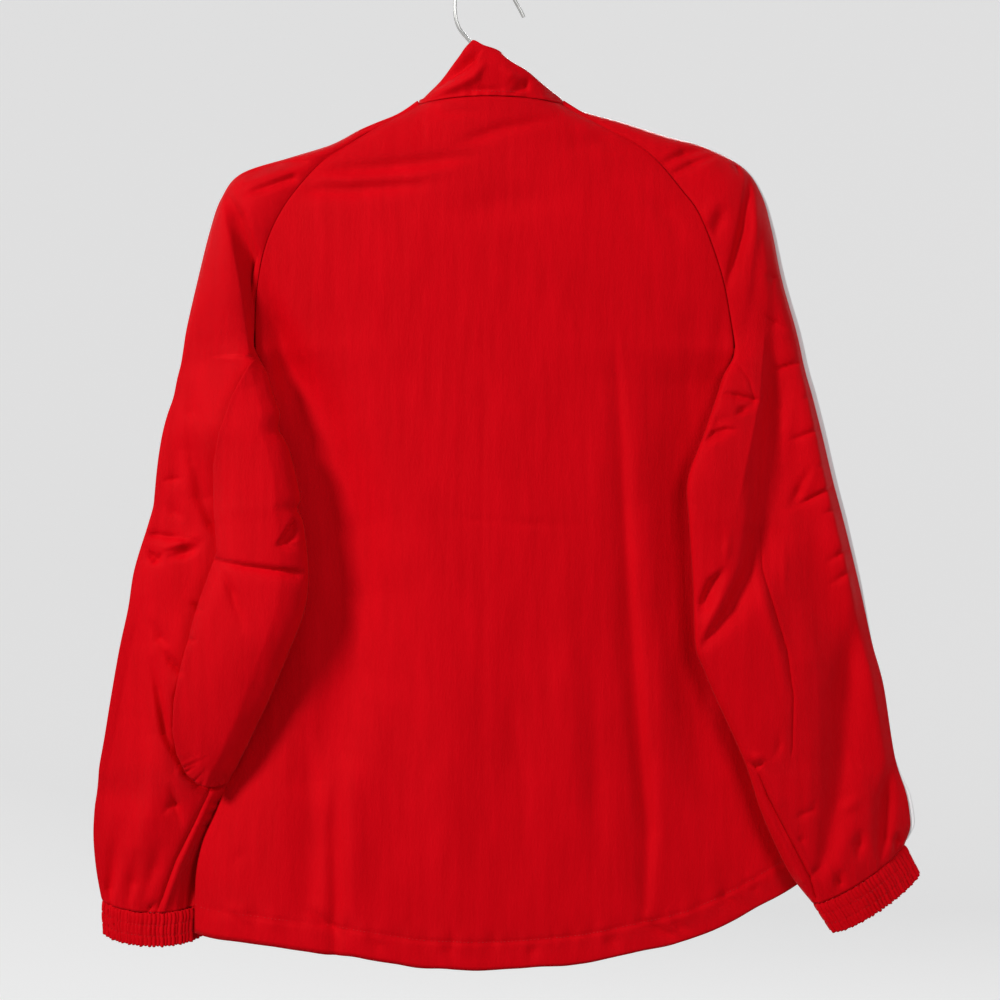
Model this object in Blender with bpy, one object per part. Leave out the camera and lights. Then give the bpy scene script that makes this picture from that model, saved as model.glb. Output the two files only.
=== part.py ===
"""Lightweight windbreaker on a wire hanger, hung by the hanger's hook.

The jacket's back faces -Y and its zipped front faces +Y. Every piece is cut as its own sheet:
a smooth surface worked out from a short table of sections, given a wall, and kept a seam gap
away from its neighbours.

The tables are in millimetres. "x" is measured to the right of the hanger's stem as seen from
the back, "drop" downwards from just above the hook, and "y" away from the viewer.
"""

import math

import bmesh
import bpy
from mathutils import Matrix, Vector

# ---------------------------------------------------------------- driving dimensions, in mm
MM = 0.001
SEAT_X = -6.3           # inside top of the hook, in the tables' own measure
SEAT_DROP = 5.3
CLOTH = 1.2             # wall of one layer, with its fold and coating
SEAM_GAP = 0.3          # between neighbouring pieces
SEAM_INSET = 0.6        # each panel's edge to the seam's line, so that turned edges stay apart
EDGE_SHIFT = 0.3        # each half of a tube stands this far from the plane where they meet
LAP = 1.1               # and the front half's edge lies this far inside the back half's

WIRE = 3.0              # hanger wire, across
HOOK_RADIUS = 21.5      # to the wire's middle
HANGER_HALF = 196.0     # stem to each end of the hanger
SHOULDER_TOP = 98.0     # drop where the two shoulders of the wire meet
LEFT_SLOPE = 0.395      # the hanger hangs a little lower on its left
RIGHT_SLOPE = 0.32
HANGER_DEPTH = 19.0     # shoulder end down to the bottom bar
WIND = 3.8              # radius of the turns round the stem, to the wire's middle

NECK_X = 0.5            # middle of the neck seam
NECK_HALF = 58.5
NECK_BACK = 26.0        # how far the seam stands behind and in front of the shoulders
NECK_FRONT = 24.0
NECK_TOP = 108.5        # drop of the seam at the back
NECK_SIDE = 113.0
NECK_LOW = 170.0        # and at the front
BACK_NECK_ANGLE = 72.0  # the back panel takes the seam this far round to each side
FRONT_NECK_ANGLE = 112.0

ZIP_X = 0.5
ZIP_OPENING = 6.0       # from the zip's middle to the edge of each front
TAPE_EDGE = 9.0
CHAIN_HALF = 2.5
CHAIN_THICK = 2.0
TAPE_THICK = 0.8
ZIP_SET = 1.9           # the zip's middle lies this far inside the fronts' middle
SLIDER_DROP = 130.0
SLIDER_UP = 0.95        # the same place along the zip's line
PLATE = 1.5
ARCH = 2.5              # clear height under the slider's arch
PLATE_HALF = (4.0, 7.0)    # half the slider's plate, across and along the zip
PLATE_CLEAR = 0.35      # from the teeth to the plate
ARCH_HALF = (1.0, 4.0)
ARCH_CAP = 1.0          # metal above the clear height
HOLE_HALF = 2.8         # the arch's clear length
ROOT = 0.4              # the arch's foot reaches this far into the plate
TAB_LENGTH = 22.0
TAB_THICK = 1.4
TAB_HALF = 3.2
TAB_CLEAR = 0.6         # from the plate to the tab
EYE_HALF = 1.7          # the tab's eye, half its width
EYE_END = 6.2           # and how far it reaches below the hinge's axis
THROUGH = 2.0           # cutters reach this far past what they cut
EDGE_ROUND = 0.3

CUFF_LENGTH = 27.0
CUFF_RIBS = 42
RIB_HEIGHT = 1.3
CUFF_TAPER = (0.99, 0.97, 0.95)    # size at its top, middle and edge, against the sleeve's end
CUFF_WALL = 0.06        # wall against the cuff's own size

# ---------------------------------------------------------------- tables
# One row for each section of a sleeve, from the neck to the cuff. The first eleven run from
# the raglan seam to the shoulder line, the others from the inner edge to the overarm. "puff" is
# the roundness of each half, "lump" the height of the fold that overlaps the outer arm, "end"
# where across the sleeve it ends, "tube" 1 where the section is closed at its inner edge.
SLEEVE_COLUMNS = ("in_x", "in_drop", "out_x", "out_drop", "y_back", "y_front", "y_out",
                  "puff_back", "puff_front", "lump", "end", "tube", "sag", "power")
LEFT_SLEEVE = (
    (-55, 113, -58, 113, -8.0, 9, 0, 0, 0, 0, 0.95, 0.0, 0, 0.5),
    (-71, 124, -74, 120, -10, 11, 0, 0, 0, 0, 0.95, 0.0, 0, 0.5),
    (-96, 135, -101, 131, -12, 13, 0, 1, 1, 0, 0.95, 0.0, 0, 0.5),
    (-115, 147, -126, 144, -14, 15, 0, 2, 1, 0, 0.95, 0.0, 0, 0.5),
    (-133, 159, -158, 154, -16, 16, 0, 3, 2, 0, 0.95, 0.0, 0, 0.5),
    (-154, 182, -198, 167, -18, 17, 0, 4, 2, 0, 0.95, 0.0, 0, 0.5),
    (-169, 205, -214, 187, -19, 17, 0, 4, 2, 0, 0.95, 0.0, 0, 0.5),
    (-179, 230, -223, 213, -18, 16, 0, 4, 2, 0, 0.95, 0.0, 0, 0.5),
    (-185, 261, -232, 249, -15, 11, 0, 5, 3, 0, 0.95, 0.1, 0, 0.5),
    (-187, 289, -241, 288, -10, 3, 0, 7, 3, 0, 0.95, 0.4, 0, 0.5),
    (-187, 306, -244, 306, -8.5, -6, 0, 9, 3, 1, 0.93, 0.8, 0, 0.5),
    (-185, 316, -246, 318, -13, -13, 0, 11, 2, 3, 0.88, 1.0, 0, 0.5),
    (-178, 328, -249, 330, -14, -14, 0, 12, 3, 6, 0.78, 1.0, 0, 0.5),
    (-171, 345, -252, 345, -16, -16, -1, 13, 4, 9, 0.66, 1.0, 0, 0.5),
    (-162, 371, -261, 371, -19, -19, -2, 14, 4, 13, 0.55, 1.0, 0, 0.5),
    (-149, 427, -267, 423, -22, -22, -2, 15, 5, 15, 0.57, 1.0, 0, 0.5),
    (-143, 482, -283, 482, -23, -23, -2, 16, 5, 15, 0.54, 1.0, 0, 0.5),
    (-146, 513, -288, 513, -23, -23, -2, 16, 5, 14, 0.58, 1.0, 0, 0.5),
    (-158, 545, -295, 545, -23, -23, -2, 16, 5, 14, 0.60, 1.0, 0, 0.5),
    (-175, 585, -302, 585, -21, -21, -2, 16, 5, 13, 0.58, 1.0, 0, 0.5),
    (-188, 616, -307, 616, -17, -17, -2, 16, 6, 10, 0.50, 1.0, 0, 0.55),
    (-197, 640, -311, 640, -11, -11, -1, 16, 8, 3, 0.34, 1.0, 0, 0.7),
    (-204, 650, -312, 650, -2, -2, 0, 16, 8, 1, 0.30, 1.0, 0, 0.8),
    (-206, 659, -313, 659, 4, 4, 0, 16, 8, 0, 0.30, 1.0, 0, 0.9),
    (-206, 675, -315, 673, 9, 9, 0, 16, 8, 0, 0.30, 1.0, 1, 1.0),
    (-214, 698, -316, 695, 10, 10, 1, 16, 9, 0, 0.30, 1.0, 3, 1.0),
    (-222, 723, -314, 720, 10, 10, 2, 15, 10, 0, 0.30, 1.0, 7, 0.9),
    (-227, 744, -310, 743, 11, 11, 3, 14, 10, 0, 0.30, 1.0, 11, 0.7),
)
RIGHT_SLEEVE = (
    (56, 113, 59, 113, -8.0, 9, 0, 0, 0, 0, 0.95, 0.0, 0, 0.5),
    (77, 126, 81, 120, -10, 11, 0, 0, 0, 0, 0.95, 0.0, 0, 0.5),
    (99, 136, 107, 127, -12, 13, 0, 1, 1, 0, 0.95, 0.0, 0, 0.5),
    (119, 147, 138, 137, -14, 15, 0, 2, 1, 0, 0.95, 0.0, 0, 0.5),
    (134, 160, 170, 146, -16, 16, 0, 3, 2, 0, 0.95, 0.0, 0, 0.5),
    (152, 182, 201, 162, -18, 17, 0, 4, 2, 0, 0.95, 0.0, 0, 0.5),
    (164, 198, 216, 184, -19, 17, 0, 4, 2, 0, 0.95, 0.0, 0, 0.5),
    (175, 223, 224, 212, -18, 16, 0, 4, 2, 0, 0.95, 0.0, 0, 0.5),
    (185, 254, 232, 251, -15, 11, 0, 5, 3, 0, 0.95, 0.1, 0, 0.5),
    (192, 290, 243, 290, -10, 3, 0, 7, 3, 0, 0.95, 0.4, 0, 0.5),
    (194, 306, 247, 307, -8.5, -6, 0, 9, 3, 1, 0.80, 0.8, 0, 0.5),
    (192, 316, 249, 317, -13, -13, 0, 11, 2, 3, 0.62, 1.0, 0, 0.5),
    (185, 328, 252, 329, -14, -14, 0, 12, 3, 5, 0.52, 1.0, 0, 0.5),
    (180, 343, 256, 343, -16, -16, -1, 13, 4, 7, 0.44, 1.0, 0, 0.5),
    (169, 375, 264, 375, -19, -19, -2, 14, 4, 10, 0.44, 1.0, 0, 0.5),
    (156, 411, 273, 413, -22, -22, -2, 15, 5, 12, 0.46, 1.0, 0, 0.5),
    (157, 443, 281, 443, -23, -23, -2, 16, 5, 12, 0.42, 1.0, 0, 0.5),
    (160, 492, 293, 492, -23, -23, -2, 16, 5, 9, 0.32, 1.0, 0, 0.5),
    (162, 541, 304, 541, -23, -23, -2, 17, 5, 5, 0.14, 1.0, 0, 0.5),
    (169, 561, 310, 562, -22, -22, -2, 17, 5, 1, 0.10, 1.0, 0, 0.5),
    (177, 580, 314, 580, -21, -21, -2, 17, 6, 0, 0.30, 1.0, 0, 0.5),
    (201, 633, 322, 631, -20, -20, -2, 17, 6, 0, 0.30, 1.0, 0, 0.5),
    (214, 672, 331, 660, -19, -19, -2, 16, 7, 0, 0.30, 1.0, 1, 0.5),
    (229, 706, 334, 678, -18, -18, -2, 16, 8, 0, 0.30, 1.0, 3, 0.5),
    (240, 726, 334, 688, -18, -18, -2, 15, 9, 0, 0.30, 1.0, 5, 0.5),
    (254, 743, 330, 699, -18, -18, -2, 14, 10, 0, 0.30, 1.0, 8, 0.5),
)
COLLAR_LIFT = 1.1        # the collar's foot stands this far above the panels' edge
SEAM_ROWS = 12          # grid rows along a raglan seam, the same on both its sides
SLEEVE_ROWS = 29
SLEEVE_BACK_COLUMNS = 11
SLEEVE_FRONT_COLUMNS = 8
BODY_ROWS = 27
BACK_COLUMNS = 18
FRONT_COLUMNS = 8
COLLAR_GRID = (4, 36)
COLLAR_END = 0.012      # share of its length at which the collar stops short of the zip
ZIP_ROWS = 26
CHAIN_ENDS = (0.004, 0.985)
UNDERARM = 10           # row where the raglan seams end and the side seams begin

# Side seams, from the underarm to the hem. The underarm itself is a row of the sleeves.
SIDE_COLUMNS = ("left_x", "left_drop", "left_y", "right_x", "right_drop", "right_y")
SIDES = (
    (-187, 306, 0, 194, 306, 0),
    (-181, 325, 0, 188, 325, 0),
    (-179, 350, 0, 187, 350, 0),
    (-186, 410, 0, 194, 410, 0),
    (-190, 500, 0, 201, 500, 1),
    (-190, 590, 0, 206, 590, 1),
    (-193, 630, -1, 210, 632, 1),
    (-199, 650, -3, 218, 655, 1),
    (-213, 672, -7, 228, 682, 1),
    (-225, 697, -7, 238, 705, 1),
    (-233, 725, -7, 244, 718, 1),
    (-235, 770, -7, 247, 731, 1),
)
# How far each panel bulges past the line between its two seams, and how square it is.
DEPTH_COLUMNS = ("drop", "back", "front", "power")
DEPTHS = (
    (111, 18, 14, 0.5),
    (150, 13, 10, 0.7),
    (200, 9, 8, 0.8),
    (255, 12, 12, 0.7),
    (289, 16, 21, 0.65),
    (306, 17.5, 30.5, 0.6),
    (330, 24.5, 27.5, 0.6),
    (400, 26, 25.5, 0.6),
    (600, 27, 25, 0.6),
    (820, 31, 26, 0.6),
)
HEM_COLUMNS = ("across", "bow")
HEM = ((0.0, 0), (0.04, 6), (0.1, 11), (0.22, 22), (0.38, 40), (0.5, 46),
       (0.64, 46), (0.81, 36), (0.9, 21), (0.95, 10), (1.0, 0))

# The largest folds: a trough from one end to the other, pressed in by "depth" (out if negative).
FOLD_COLUMNS = ("x1", "drop1", "x2", "drop2", "width", "depth")
BACK_FOLDS = (
    (99, 285, 122, 745, 9, 3.0),
    (112, 300, 134, 760, 10, -2.0),
    (-124, 660, -122, 752, 9, 3.0),
    (-108, 640, -104, 770, 12, -2.5),
    (-136, 166, -8, 156, 5, 2.0),
    (152, 760, 118, 768, 8, 2.0),
)
FRONT_FOLDS = (
    (-90, 300, -120, 760, 10, 3.0),
    (96, 330, 128, 752, 11, 3.0),
    (-130, 190, -30, 205, 8, 2.0),
    (30, 205, 128, 186, 8, 2.0),
)
LEFT_FOLDS = (
    (-208, 186, -186, 292, 7, 4.0),
    (-210, 376, -164, 370, 5, 3.5),
    (-212, 474, -146, 484, 5, 3.5),
    (-212, 474, -195, 516, 5, 3.0),
    (-176, 446, -165, 458, 6, 3.0),
)
RIGHT_FOLDS = (
    (205, 190, 208, 290, 7, 3.0),
    (183, 342, 210, 346, 5, 3.5),
    (170, 376, 192, 371, 5, 3.0),
    (196, 424, 192, 500, 8, 4.0),
    (232, 458, 232, 505, 5, 2.5),
    (203, 634, 214, 637, 4, 3.0),
)

# The stand collar has sunk on itself. "knee" is the ring of its outline seen from behind, "top"
# its upper edge, tucked in at the sides. Angles go round from the back, minus to the left.
COLLAR_COLUMNS = ("angle", "knee_x", "knee_drop", "knee_y", "top_x", "top_drop", "top_y")
COLLAR = (
    (-174, -6, 144, 27, -6, 119, 27),
    (-160, -18, 141, 26, -15, 117, 27),
    (-140, -33, 128, 21, -28, 108, 20),
    (-115, -46, 111, 9, -26, 101, 11),
    (-90, -47, 105, -2, -25, 98, 3),
    (-65, -36, 92, -12, -21, 88, -6),
    (-40, -26, 79, -20, -17, 76, -13),
    (-20, -18, 74, -25, -14, 64, -22),
    (0, -4, 84, -29, -5, 68, -26),
    (20, 13, 83, -27, 9, 74, -23),
    (40, 27, 87, -22, 18, 90, -14),
    (60, 39, 96, -15, 23, 97, -5),
    (90, 54, 108, -1, 24, 102, 6),
    (115, 47, 113, 9, 24, 106, 14),
    (140, 36, 129, 21, 28, 109, 20),
    (160, 22, 141, 26, 18, 117, 27),
    (174, 7, 144, 27, 7, 119, 27),
)

# Width of the tape that shows past the right overarm, at each section of the sleeve.
RIGHT_PEEK = (0.2, 0.2, 0.2, 0.6, 0.8, 0.2, 0.4, 1.2, 1.6, 2.0, 2.2, 2.6, 3.2,
              3.6, 3.4, 2.4, 1.6, 0.6, 0.2, 0.2, 0.4, 2.0, 2.4, 2.0, 1.2, 0.6)
TAPE_WIDTH = 12.0
TAPE_WALL = 1.0
TAPE_COLUMNS = 5
TAPE_LIFT = 0.6         # past the seam gap, where the sleeve curves under the tape
TAPE_INSET = 3.0        # of the hidden tape from the overarm

RED = (0.70, 0.0, 0.006)
WHITE = (0.86, 0.86, 0.85)
STEEL = (0.72, 0.72, 0.71)


# ---------------------------------------------------------------- small helpers
def mix(a, b, part):
    return a + (b - a) * part


def ease(part):
    """Smooth step from 0 to 1."""
    part = min(max(part, 0.0), 1.0)
    return part * part * (3 - 2 * part)


def curve_at(values, place):
    """Value at a fractional row, on a smooth curve through a column of a table."""
    last = len(values) - 1
    place = min(max(place, 0.0), float(last))
    row = min(int(place), last - 1)
    part = place - row
    a, b, c, d = values[max(row - 1, 0)], values[row], values[row + 1], values[min(row + 2, last)]
    bend = (2 * a - 5 * b + 4 * c - d) * part + (3 * b - a - 3 * c + d) * part * part
    return 0.5 * (2 * b + ((c - a) + bend) * part)


def section(table, names, place):
    """All the columns of a table at a fractional row, by name."""
    return {name: curve_at([row[k] for row in table], place) for k, name in enumerate(names)}


def lookup(table, names, key):
    """The columns of a table whose first column is the key, straight between its rows."""
    rows = list(table)
    key = min(max(key, rows[0][0]), rows[-1][0])
    k = max(i for i, row in enumerate(rows[:-1]) if row[0] <= key)
    part = (key - rows[k][0]) / (rows[k + 1][0] - rows[k][0])
    return {name: mix(rows[k][i], rows[k + 1][i], part) for i, name in enumerate(names)}


def place(x, drop, y):
    """From the tables' millimetres to the model's metres, with the hook's seat as origin."""
    return Vector(((x - SEAT_X) * MM, y * MM, (SEAT_DROP - drop) * MM))


def pressed(folds, x, drop):
    """How deep the folds press the cloth in at a point."""
    total = 0.0
    for row in folds:
        fold = dict(zip(FOLD_COLUMNS, row))
        run_x, run_d = fold["x2"] - fold["x1"], fold["drop2"] - fold["drop1"]
        length = math.hypot(run_x, run_d)
        along = ((x - fold["x1"]) * run_x + (drop - fold["drop1"]) * run_d) / length**2
        off = ((x - fold["x1"]) * run_d - (drop - fold["drop1"]) * run_x) / length
        ends = ease(along * 5 + 0.5) * ease((1 - along) * 5 + 0.5)
        total += fold["depth"] * ends * math.exp(-((off / fold["width"]) ** 2))
    return total


# ---------------------------------------------------------------- surfaces, in mm
def neck(angle):
    """The neck seam: angle in degrees from the back, minus to the left."""
    side, along = math.sin(math.radians(angle)), math.cos(math.radians(angle))
    x = NECK_X + NECK_HALF * side
    if along > 0:
        return x, mix(NECK_TOP, NECK_SIDE, side * side), -NECK_BACK * along
    return x, mix(NECK_LOW, NECK_SIDE, side * side), -NECK_FRONT * along


def sleeve(table, at, v, face):
    """A sleeve's surface: v runs from the inner edge to the overarm, face is -1 at the back."""
    s = section(table, SLEEVE_COLUMNS, at)
    side = -1 if table is LEFT_SLEEVE else 1
    in_x, in_drop = s["in_x"], s["in_drop"]
    y_in = s["y_back"]
    puff = s["puff_back"]
    sag = s["sag"]
    if face > 0:
        near_neck = max(0.0, 1 - at / 4) ** 2
        corner = neck(side * FRONT_NECK_ANGLE)
        first = table[0]
        in_x += near_neck * (corner[0] - first[0])
        in_drop += near_neck * (corner[1] - first[1])
        y_in = s["y_front"] + near_neck * (corner[2] - first[5])
        puff = s["puff_front"]
        sag = -0.4 * s["sag"]
    tube = min(max(s["tube"], 0.0), 1.0)
    arch = max(4 * v * (1 - v), 0.0)
    round_edge = math.sqrt(arch)
    power = s["power"] if face < 0 and v < 0.5 else 0.5
    swell = mix(arch, arch ** power, tube)
    y_raglan = s["y_out"] + (y_in - s["y_out"]) * math.sqrt(max(1 - v * v, 0.0))
    y = mix(y_raglan, mix(y_in, s["y_out"], v), tube) + face * puff * swell
    x = mix(in_x, s["out_x"], v)
    drop = mix(in_drop, s["out_drop"], v) + sag * round_edge
    if face < 0:
        rise = min(1.0, math.sqrt(v / 0.15))
        y -= s["lump"] * rise * ease((s["end"] - v) / 0.1 + 0.5)
        folds = LEFT_FOLDS if side < 0 else RIGHT_FOLDS
        y += pressed(folds, x, drop) * min(1.0, 3 * round_edge**2)
    return x, drop, y + face * EDGE_SHIFT


def body(at, u, face):
    """The body's surface: at runs from the neck (0) over the underarm (1) to the hem (2)."""
    if at < 1:
        row = at * UNDERARM
        left = section(LEFT_SLEEVE, SLEEVE_COLUMNS, row)
        right = section(RIGHT_SLEEVE, SLEEVE_COLUMNS, row)
        ends = []
        for side, table, s in ((-1, LEFT_SLEEVE, left), (1, RIGHT_SLEEVE, right)):
            if face < 0:
                ends.append((s["in_x"], s["in_drop"], s["y_back"]))
            else:
                near_neck = max(0.0, 1 - row / 4) ** 2
                corner = neck(side * FRONT_NECK_ANGLE)
                first = table[0]
                ends.append((s["in_x"] + near_neck * (corner[0] - first[0]),
                             s["in_drop"] + near_neck * (corner[1] - first[1]),
                             s["y_front"] + near_neck * (corner[2] - first[5])))
        (lx, ld, ly), (rx, rd, ry) = ends
    else:
        s = section(SIDES, SIDE_COLUMNS, (at - 1) * (len(SIDES) - 1))
        lx, ld, rx, rd = s["left_x"], s["left_drop"], s["right_x"], s["right_drop"]
        start = LEFT_SLEEVE[UNDERARM][4 if face < 0 else 5]
        fade = 1 - ease((at - 1) * 7)
        ly, ry = s["left_y"] + start * fade, s["right_y"] + start * fade
    x, drop = mix(lx, rx, u), mix(ld, rd, u)
    depth = lookup(DEPTHS, DEPTH_COLUMNS, drop)
    bulge = depth["back"] if face < 0 else depth["front"]
    arch = max(4 * u * (1 - u), 0.0)
    if at >= 1:
        drop += lookup(HEM, HEM_COLUMNS, u)["bow"] * ease((at - 1) * 1.4 - 0.4)
        if face > 0:
            drop -= 4.0 * ease(at - 1)
    elif face > 0:
        drop += (NECK_LOW - FRONT_LEVEL) * (1 - at) ** 1.5 * arch
    y = mix(ly, ry, u) + face * bulge * arch ** depth["power"]
    y -= face * pressed(BACK_FOLDS if face < 0 else FRONT_FOLDS, x, drop) * min(1.0, 4 * arch**2)
    seam_share = ease(1 - at * UNDERARM / 3) if at < 1 else 0.0
    if seam_share:
        reach = BACK_NECK_ANGLE if face < 0 else FRONT_NECK_ANGLE
        angle = mix(-reach, reach, u) if face < 0 else mix(-reach, reach - 360, u)
        nx, nd, ny = neck(angle)
        x, drop, y = mix(x, nx, seam_share), mix(drop, nd, seam_share), mix(y, ny, seam_share)
    return x, drop, y + face * EDGE_SHIFT


FRONT_LEVEL = neck(FRONT_NECK_ANGLE)[1]


def zip_share(at, offset):
    """How far across the front panel a line lies that is offset from the zip."""
    low, high = 0.0, 1.0
    for _ in range(24):
        middle = (low + high) / 2
        if body(at, middle, 1)[0] < ZIP_X + offset:
            low = middle
        else:
            high = middle
    return (low + high) / 2


def collar(around, up):
    """The collar: around runs from the zip over the left side and the back to the zip again."""
    s = section(COLLAR, COLLAR_COLUMNS, around * (len(COLLAR) - 1))
    foot_x, foot_drop, foot_y = neck(s["angle"])
    foot_drop -= COLLAR_LIFT
    rings = ((foot_x, foot_drop, foot_y), (s["knee_x"], s["knee_drop"], s["knee_y"]),
             (s["top_x"], s["top_drop"], s["top_y"]))
    return tuple(curve_at([ring[k] for ring in rings], up * 2) for k in range(3))


def front_line(up):
    """The zip's middle line, from the hem (0) over the neck seam (0.85) to the collar's top."""
    if up < 0.85:
        at = mix(2.0, 0.0, up / 0.85)
        _, drop, y = body(at, zip_share(at, 0), 1)
        return drop, y
    _, drop, y = collar(0.0, (up - 0.85) / 0.15)
    return drop, y


# ---------------------------------------------------------------- making objects
def material(name, colour, roughness, metallic=0.0):
    made = bpy.data.materials.new(name)
    made.use_nodes = True
    shader = made.node_tree.nodes["Principled BSDF"]
    shader.inputs["Base Color"].default_value = (*colour, 1.0)
    shader.inputs["Roughness"].default_value = roughness
    shader.inputs["Metallic"].default_value = metallic
    return made


def add_object(name, mesh_bm, finish):
    mesh = bpy.data.meshes.new(name)
    mesh_bm.to_mesh(mesh)
    mesh_bm.free()
    mesh.materials.append(finish)
    made = bpy.data.objects.new(name, mesh)
    bpy.context.scene.collection.objects.link(made)
    return made


def sheet(name, rows, columns, surface, finish, wall=CLOTH):
    """One cut piece: a grid laid on a surface, with a wall on both sides of it."""
    grid = bmesh.new()
    bmesh.ops.create_grid(grid, x_segments=columns, y_segments=rows, size=0.5)
    for vert in grid.verts:
        vert.co = place(*surface(vert.co.y + 0.5, vert.co.x + 0.5))
    made = add_object(name, grid, finish)
    made.data.shade_smooth()
    shell = made.modifiers.new("Wall", "SOLIDIFY")
    shell.thickness = wall * MM
    shell.offset = 0.0
    return made


def station(row, rows, top_rows, meeting, last):
    """Place of a grid row: the rows above the underarm are the same on both sides of a seam."""
    k = row * rows
    if k <= top_rows:
        return meeting * k / top_rows
    return meeting + (last - meeting) * (k - top_rows) / (rows - top_rows)


def build_sleeve(side_name, table, finish):
    last = len(table) - 1

    def half(face):
        def surface(row, column):
            at = station(row, SLEEVE_ROWS, SEAM_ROWS, UNDERARM, last)
            s = section(table, SLEEVE_COLUMNS, at)
            width = math.hypot(s["in_x"] - s["out_x"], s["in_drop"] - s["out_drop"])
            lap = LAP if face > 0 else 0.0
            inner = (SEAM_INSET if at < UNDERARM else lap) / max(width, 6.0)
            v = (1 - math.cos(math.pi * column)) / 2
            return sleeve(table, at, mix(inner, 1 - lap / max(width, 12.0), v), face)
        return surface

    sheet(f"sleeve_{side_name}_back", SLEEVE_ROWS, SLEEVE_BACK_COLUMNS, half(-1), finish)
    sheet(f"sleeve_{side_name}_front", SLEEVE_ROWS, SLEEVE_FRONT_COLUMNS, half(1), finish)


def build_back(finish):
    def surface(row, column):
        at = station(row, BODY_ROWS, SEAM_ROWS, 1, 2)
        width = body(at, 1, -1)[0] - body(at, 0, -1)[0]
        gap = (SEAM_INSET * (2.2 - 1.2 * at) if at < 1 else 0) / width
        return body(at, mix(gap, 1 - gap, (1 - math.cos(math.pi * column)) / 2), -1)

    sheet("back", BODY_ROWS, BACK_COLUMNS, surface, finish)


def build_front(side, finish):
    def surface(row, column):
        at = station(row, BODY_ROWS, SEAM_ROWS, 1, 2)
        width = body(at, 1, 1)[0] - body(at, 0, 1)[0]
        gap = (SEAM_INSET * (2.2 - 1.2 * at) if at < 1 else LAP) / width
        outer = gap if side < 0 else 1 - gap
        inner = zip_share(at, side * ZIP_OPENING)
        spread = 1 - math.cos(math.pi / 2 * column)
        return body(at, mix(outer, inner, spread), 1)

    name = "front_left" if side < 0 else "front_right"
    sheet(name, BODY_ROWS, FRONT_COLUMNS, surface, finish)


def build_collar(finish):
    def surface(row, column):
        return collar(mix(COLLAR_END, 1 - COLLAR_END, column), row)

    sheet("collar", *COLLAR_GRID, surface, finish)


def ring_wall(name, rings, finish):
    """A closed band through rings of equal count, each joined to the next and the last to the
    first."""
    band = bmesh.new()
    loops = []
    for ring in rings:
        verts = [band.verts.new(place(*point)) for point in ring]
        loops.append([band.edges.new((verts[k - 1], verts[k])) for k in range(len(verts))])
    for k, loop in enumerate(loops):
        bmesh.ops.bridge_loops(band, edges=loop + loops[(k + 1) % len(loops)])
    bmesh.ops.recalc_face_normals(band, faces=band.faces)
    return add_object(name, band, finish)


def even_ring(points, count):
    """Points of a closed loop, respaced evenly along it."""
    lengths = [0.0]
    for k in range(len(points)):
        lengths.append(lengths[-1] + (points[(k + 1) % len(points)] - points[k]).length)
    ring, k = [], 0
    for n in range(count):
        goal = lengths[-1] * n / count
        while lengths[k + 1] < goal:
            k += 1
        part = (goal - lengths[k]) / (lengths[k + 1] - lengths[k])
        ring.append(points[k].lerp(points[(k + 1) % len(points)], part))
    return ring


def cuff_ring(table, length, scale, raised):
    """One ring of a cuff, length mm beyond the end of its sleeve."""
    last = len(table) - 1
    end = section(table, SLEEVE_COLUMNS, last)
    inner, outer = Vector((end["in_x"], end["in_drop"])), Vector((end["out_x"], end["out_drop"]))
    across = (outer - inner).normalized()
    away = Vector((-across.y, across.x))
    if away.y < 0:
        away = -away
    loop = []
    steps = 120
    for k in range(steps):
        angle = 2 * math.pi * k / steps
        face = -1 if math.sin(angle) >= 0 else 1
        x, drop, y = sleeve(table, last, (1 - math.cos(angle)) / 2, face)
        loop.append(Vector((x, drop, y)))
    centre = sum(loop, Vector()) / steps
    ring = even_ring([centre + (point - centre) * scale for point in loop], 2 * CUFF_RIBS)
    shifted = []
    for k, point in enumerate(ring):
        point = point + (point - centre).normalized() * (raised * (k % 2))
        shifted.append((point.x + away.x * length, point.y + away.y * length, point.z))
    return shifted


def build_cuff(name, table, finish):
    top = SEAM_GAP + CLOTH / 2
    lengths = (top, mix(top, CUFF_LENGTH, 0.5), CUFF_LENGTH)
    outside = [cuff_ring(table, length, size, RIB_HEIGHT)
               for length, size in zip(lengths, CUFF_TAPER)]
    inside = [cuff_ring(table, length, size * (1 - CUFF_WALL), 0)
              for length, size in zip(lengths, CUFF_TAPER)]
    ring_wall(name, outside + inside[::-1], finish)


def sleeve_normal(table, at, v, face):
    """The direction straight out of a sleeve's surface, in the tables' measure."""
    step = 0.02
    low, high = max(v - step, 0.002), min(v + step, 0.998)
    across = Vector(sleeve(table, at, high, face)) - Vector(sleeve(table, at, low, face))
    along = Vector(sleeve(table, at + 0.1, v, face)) - Vector(sleeve(table, at - 0.1, v, face))
    normal = across.cross(along).normalized()
    return normal if normal.z * face >= 0 else -normal


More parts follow.
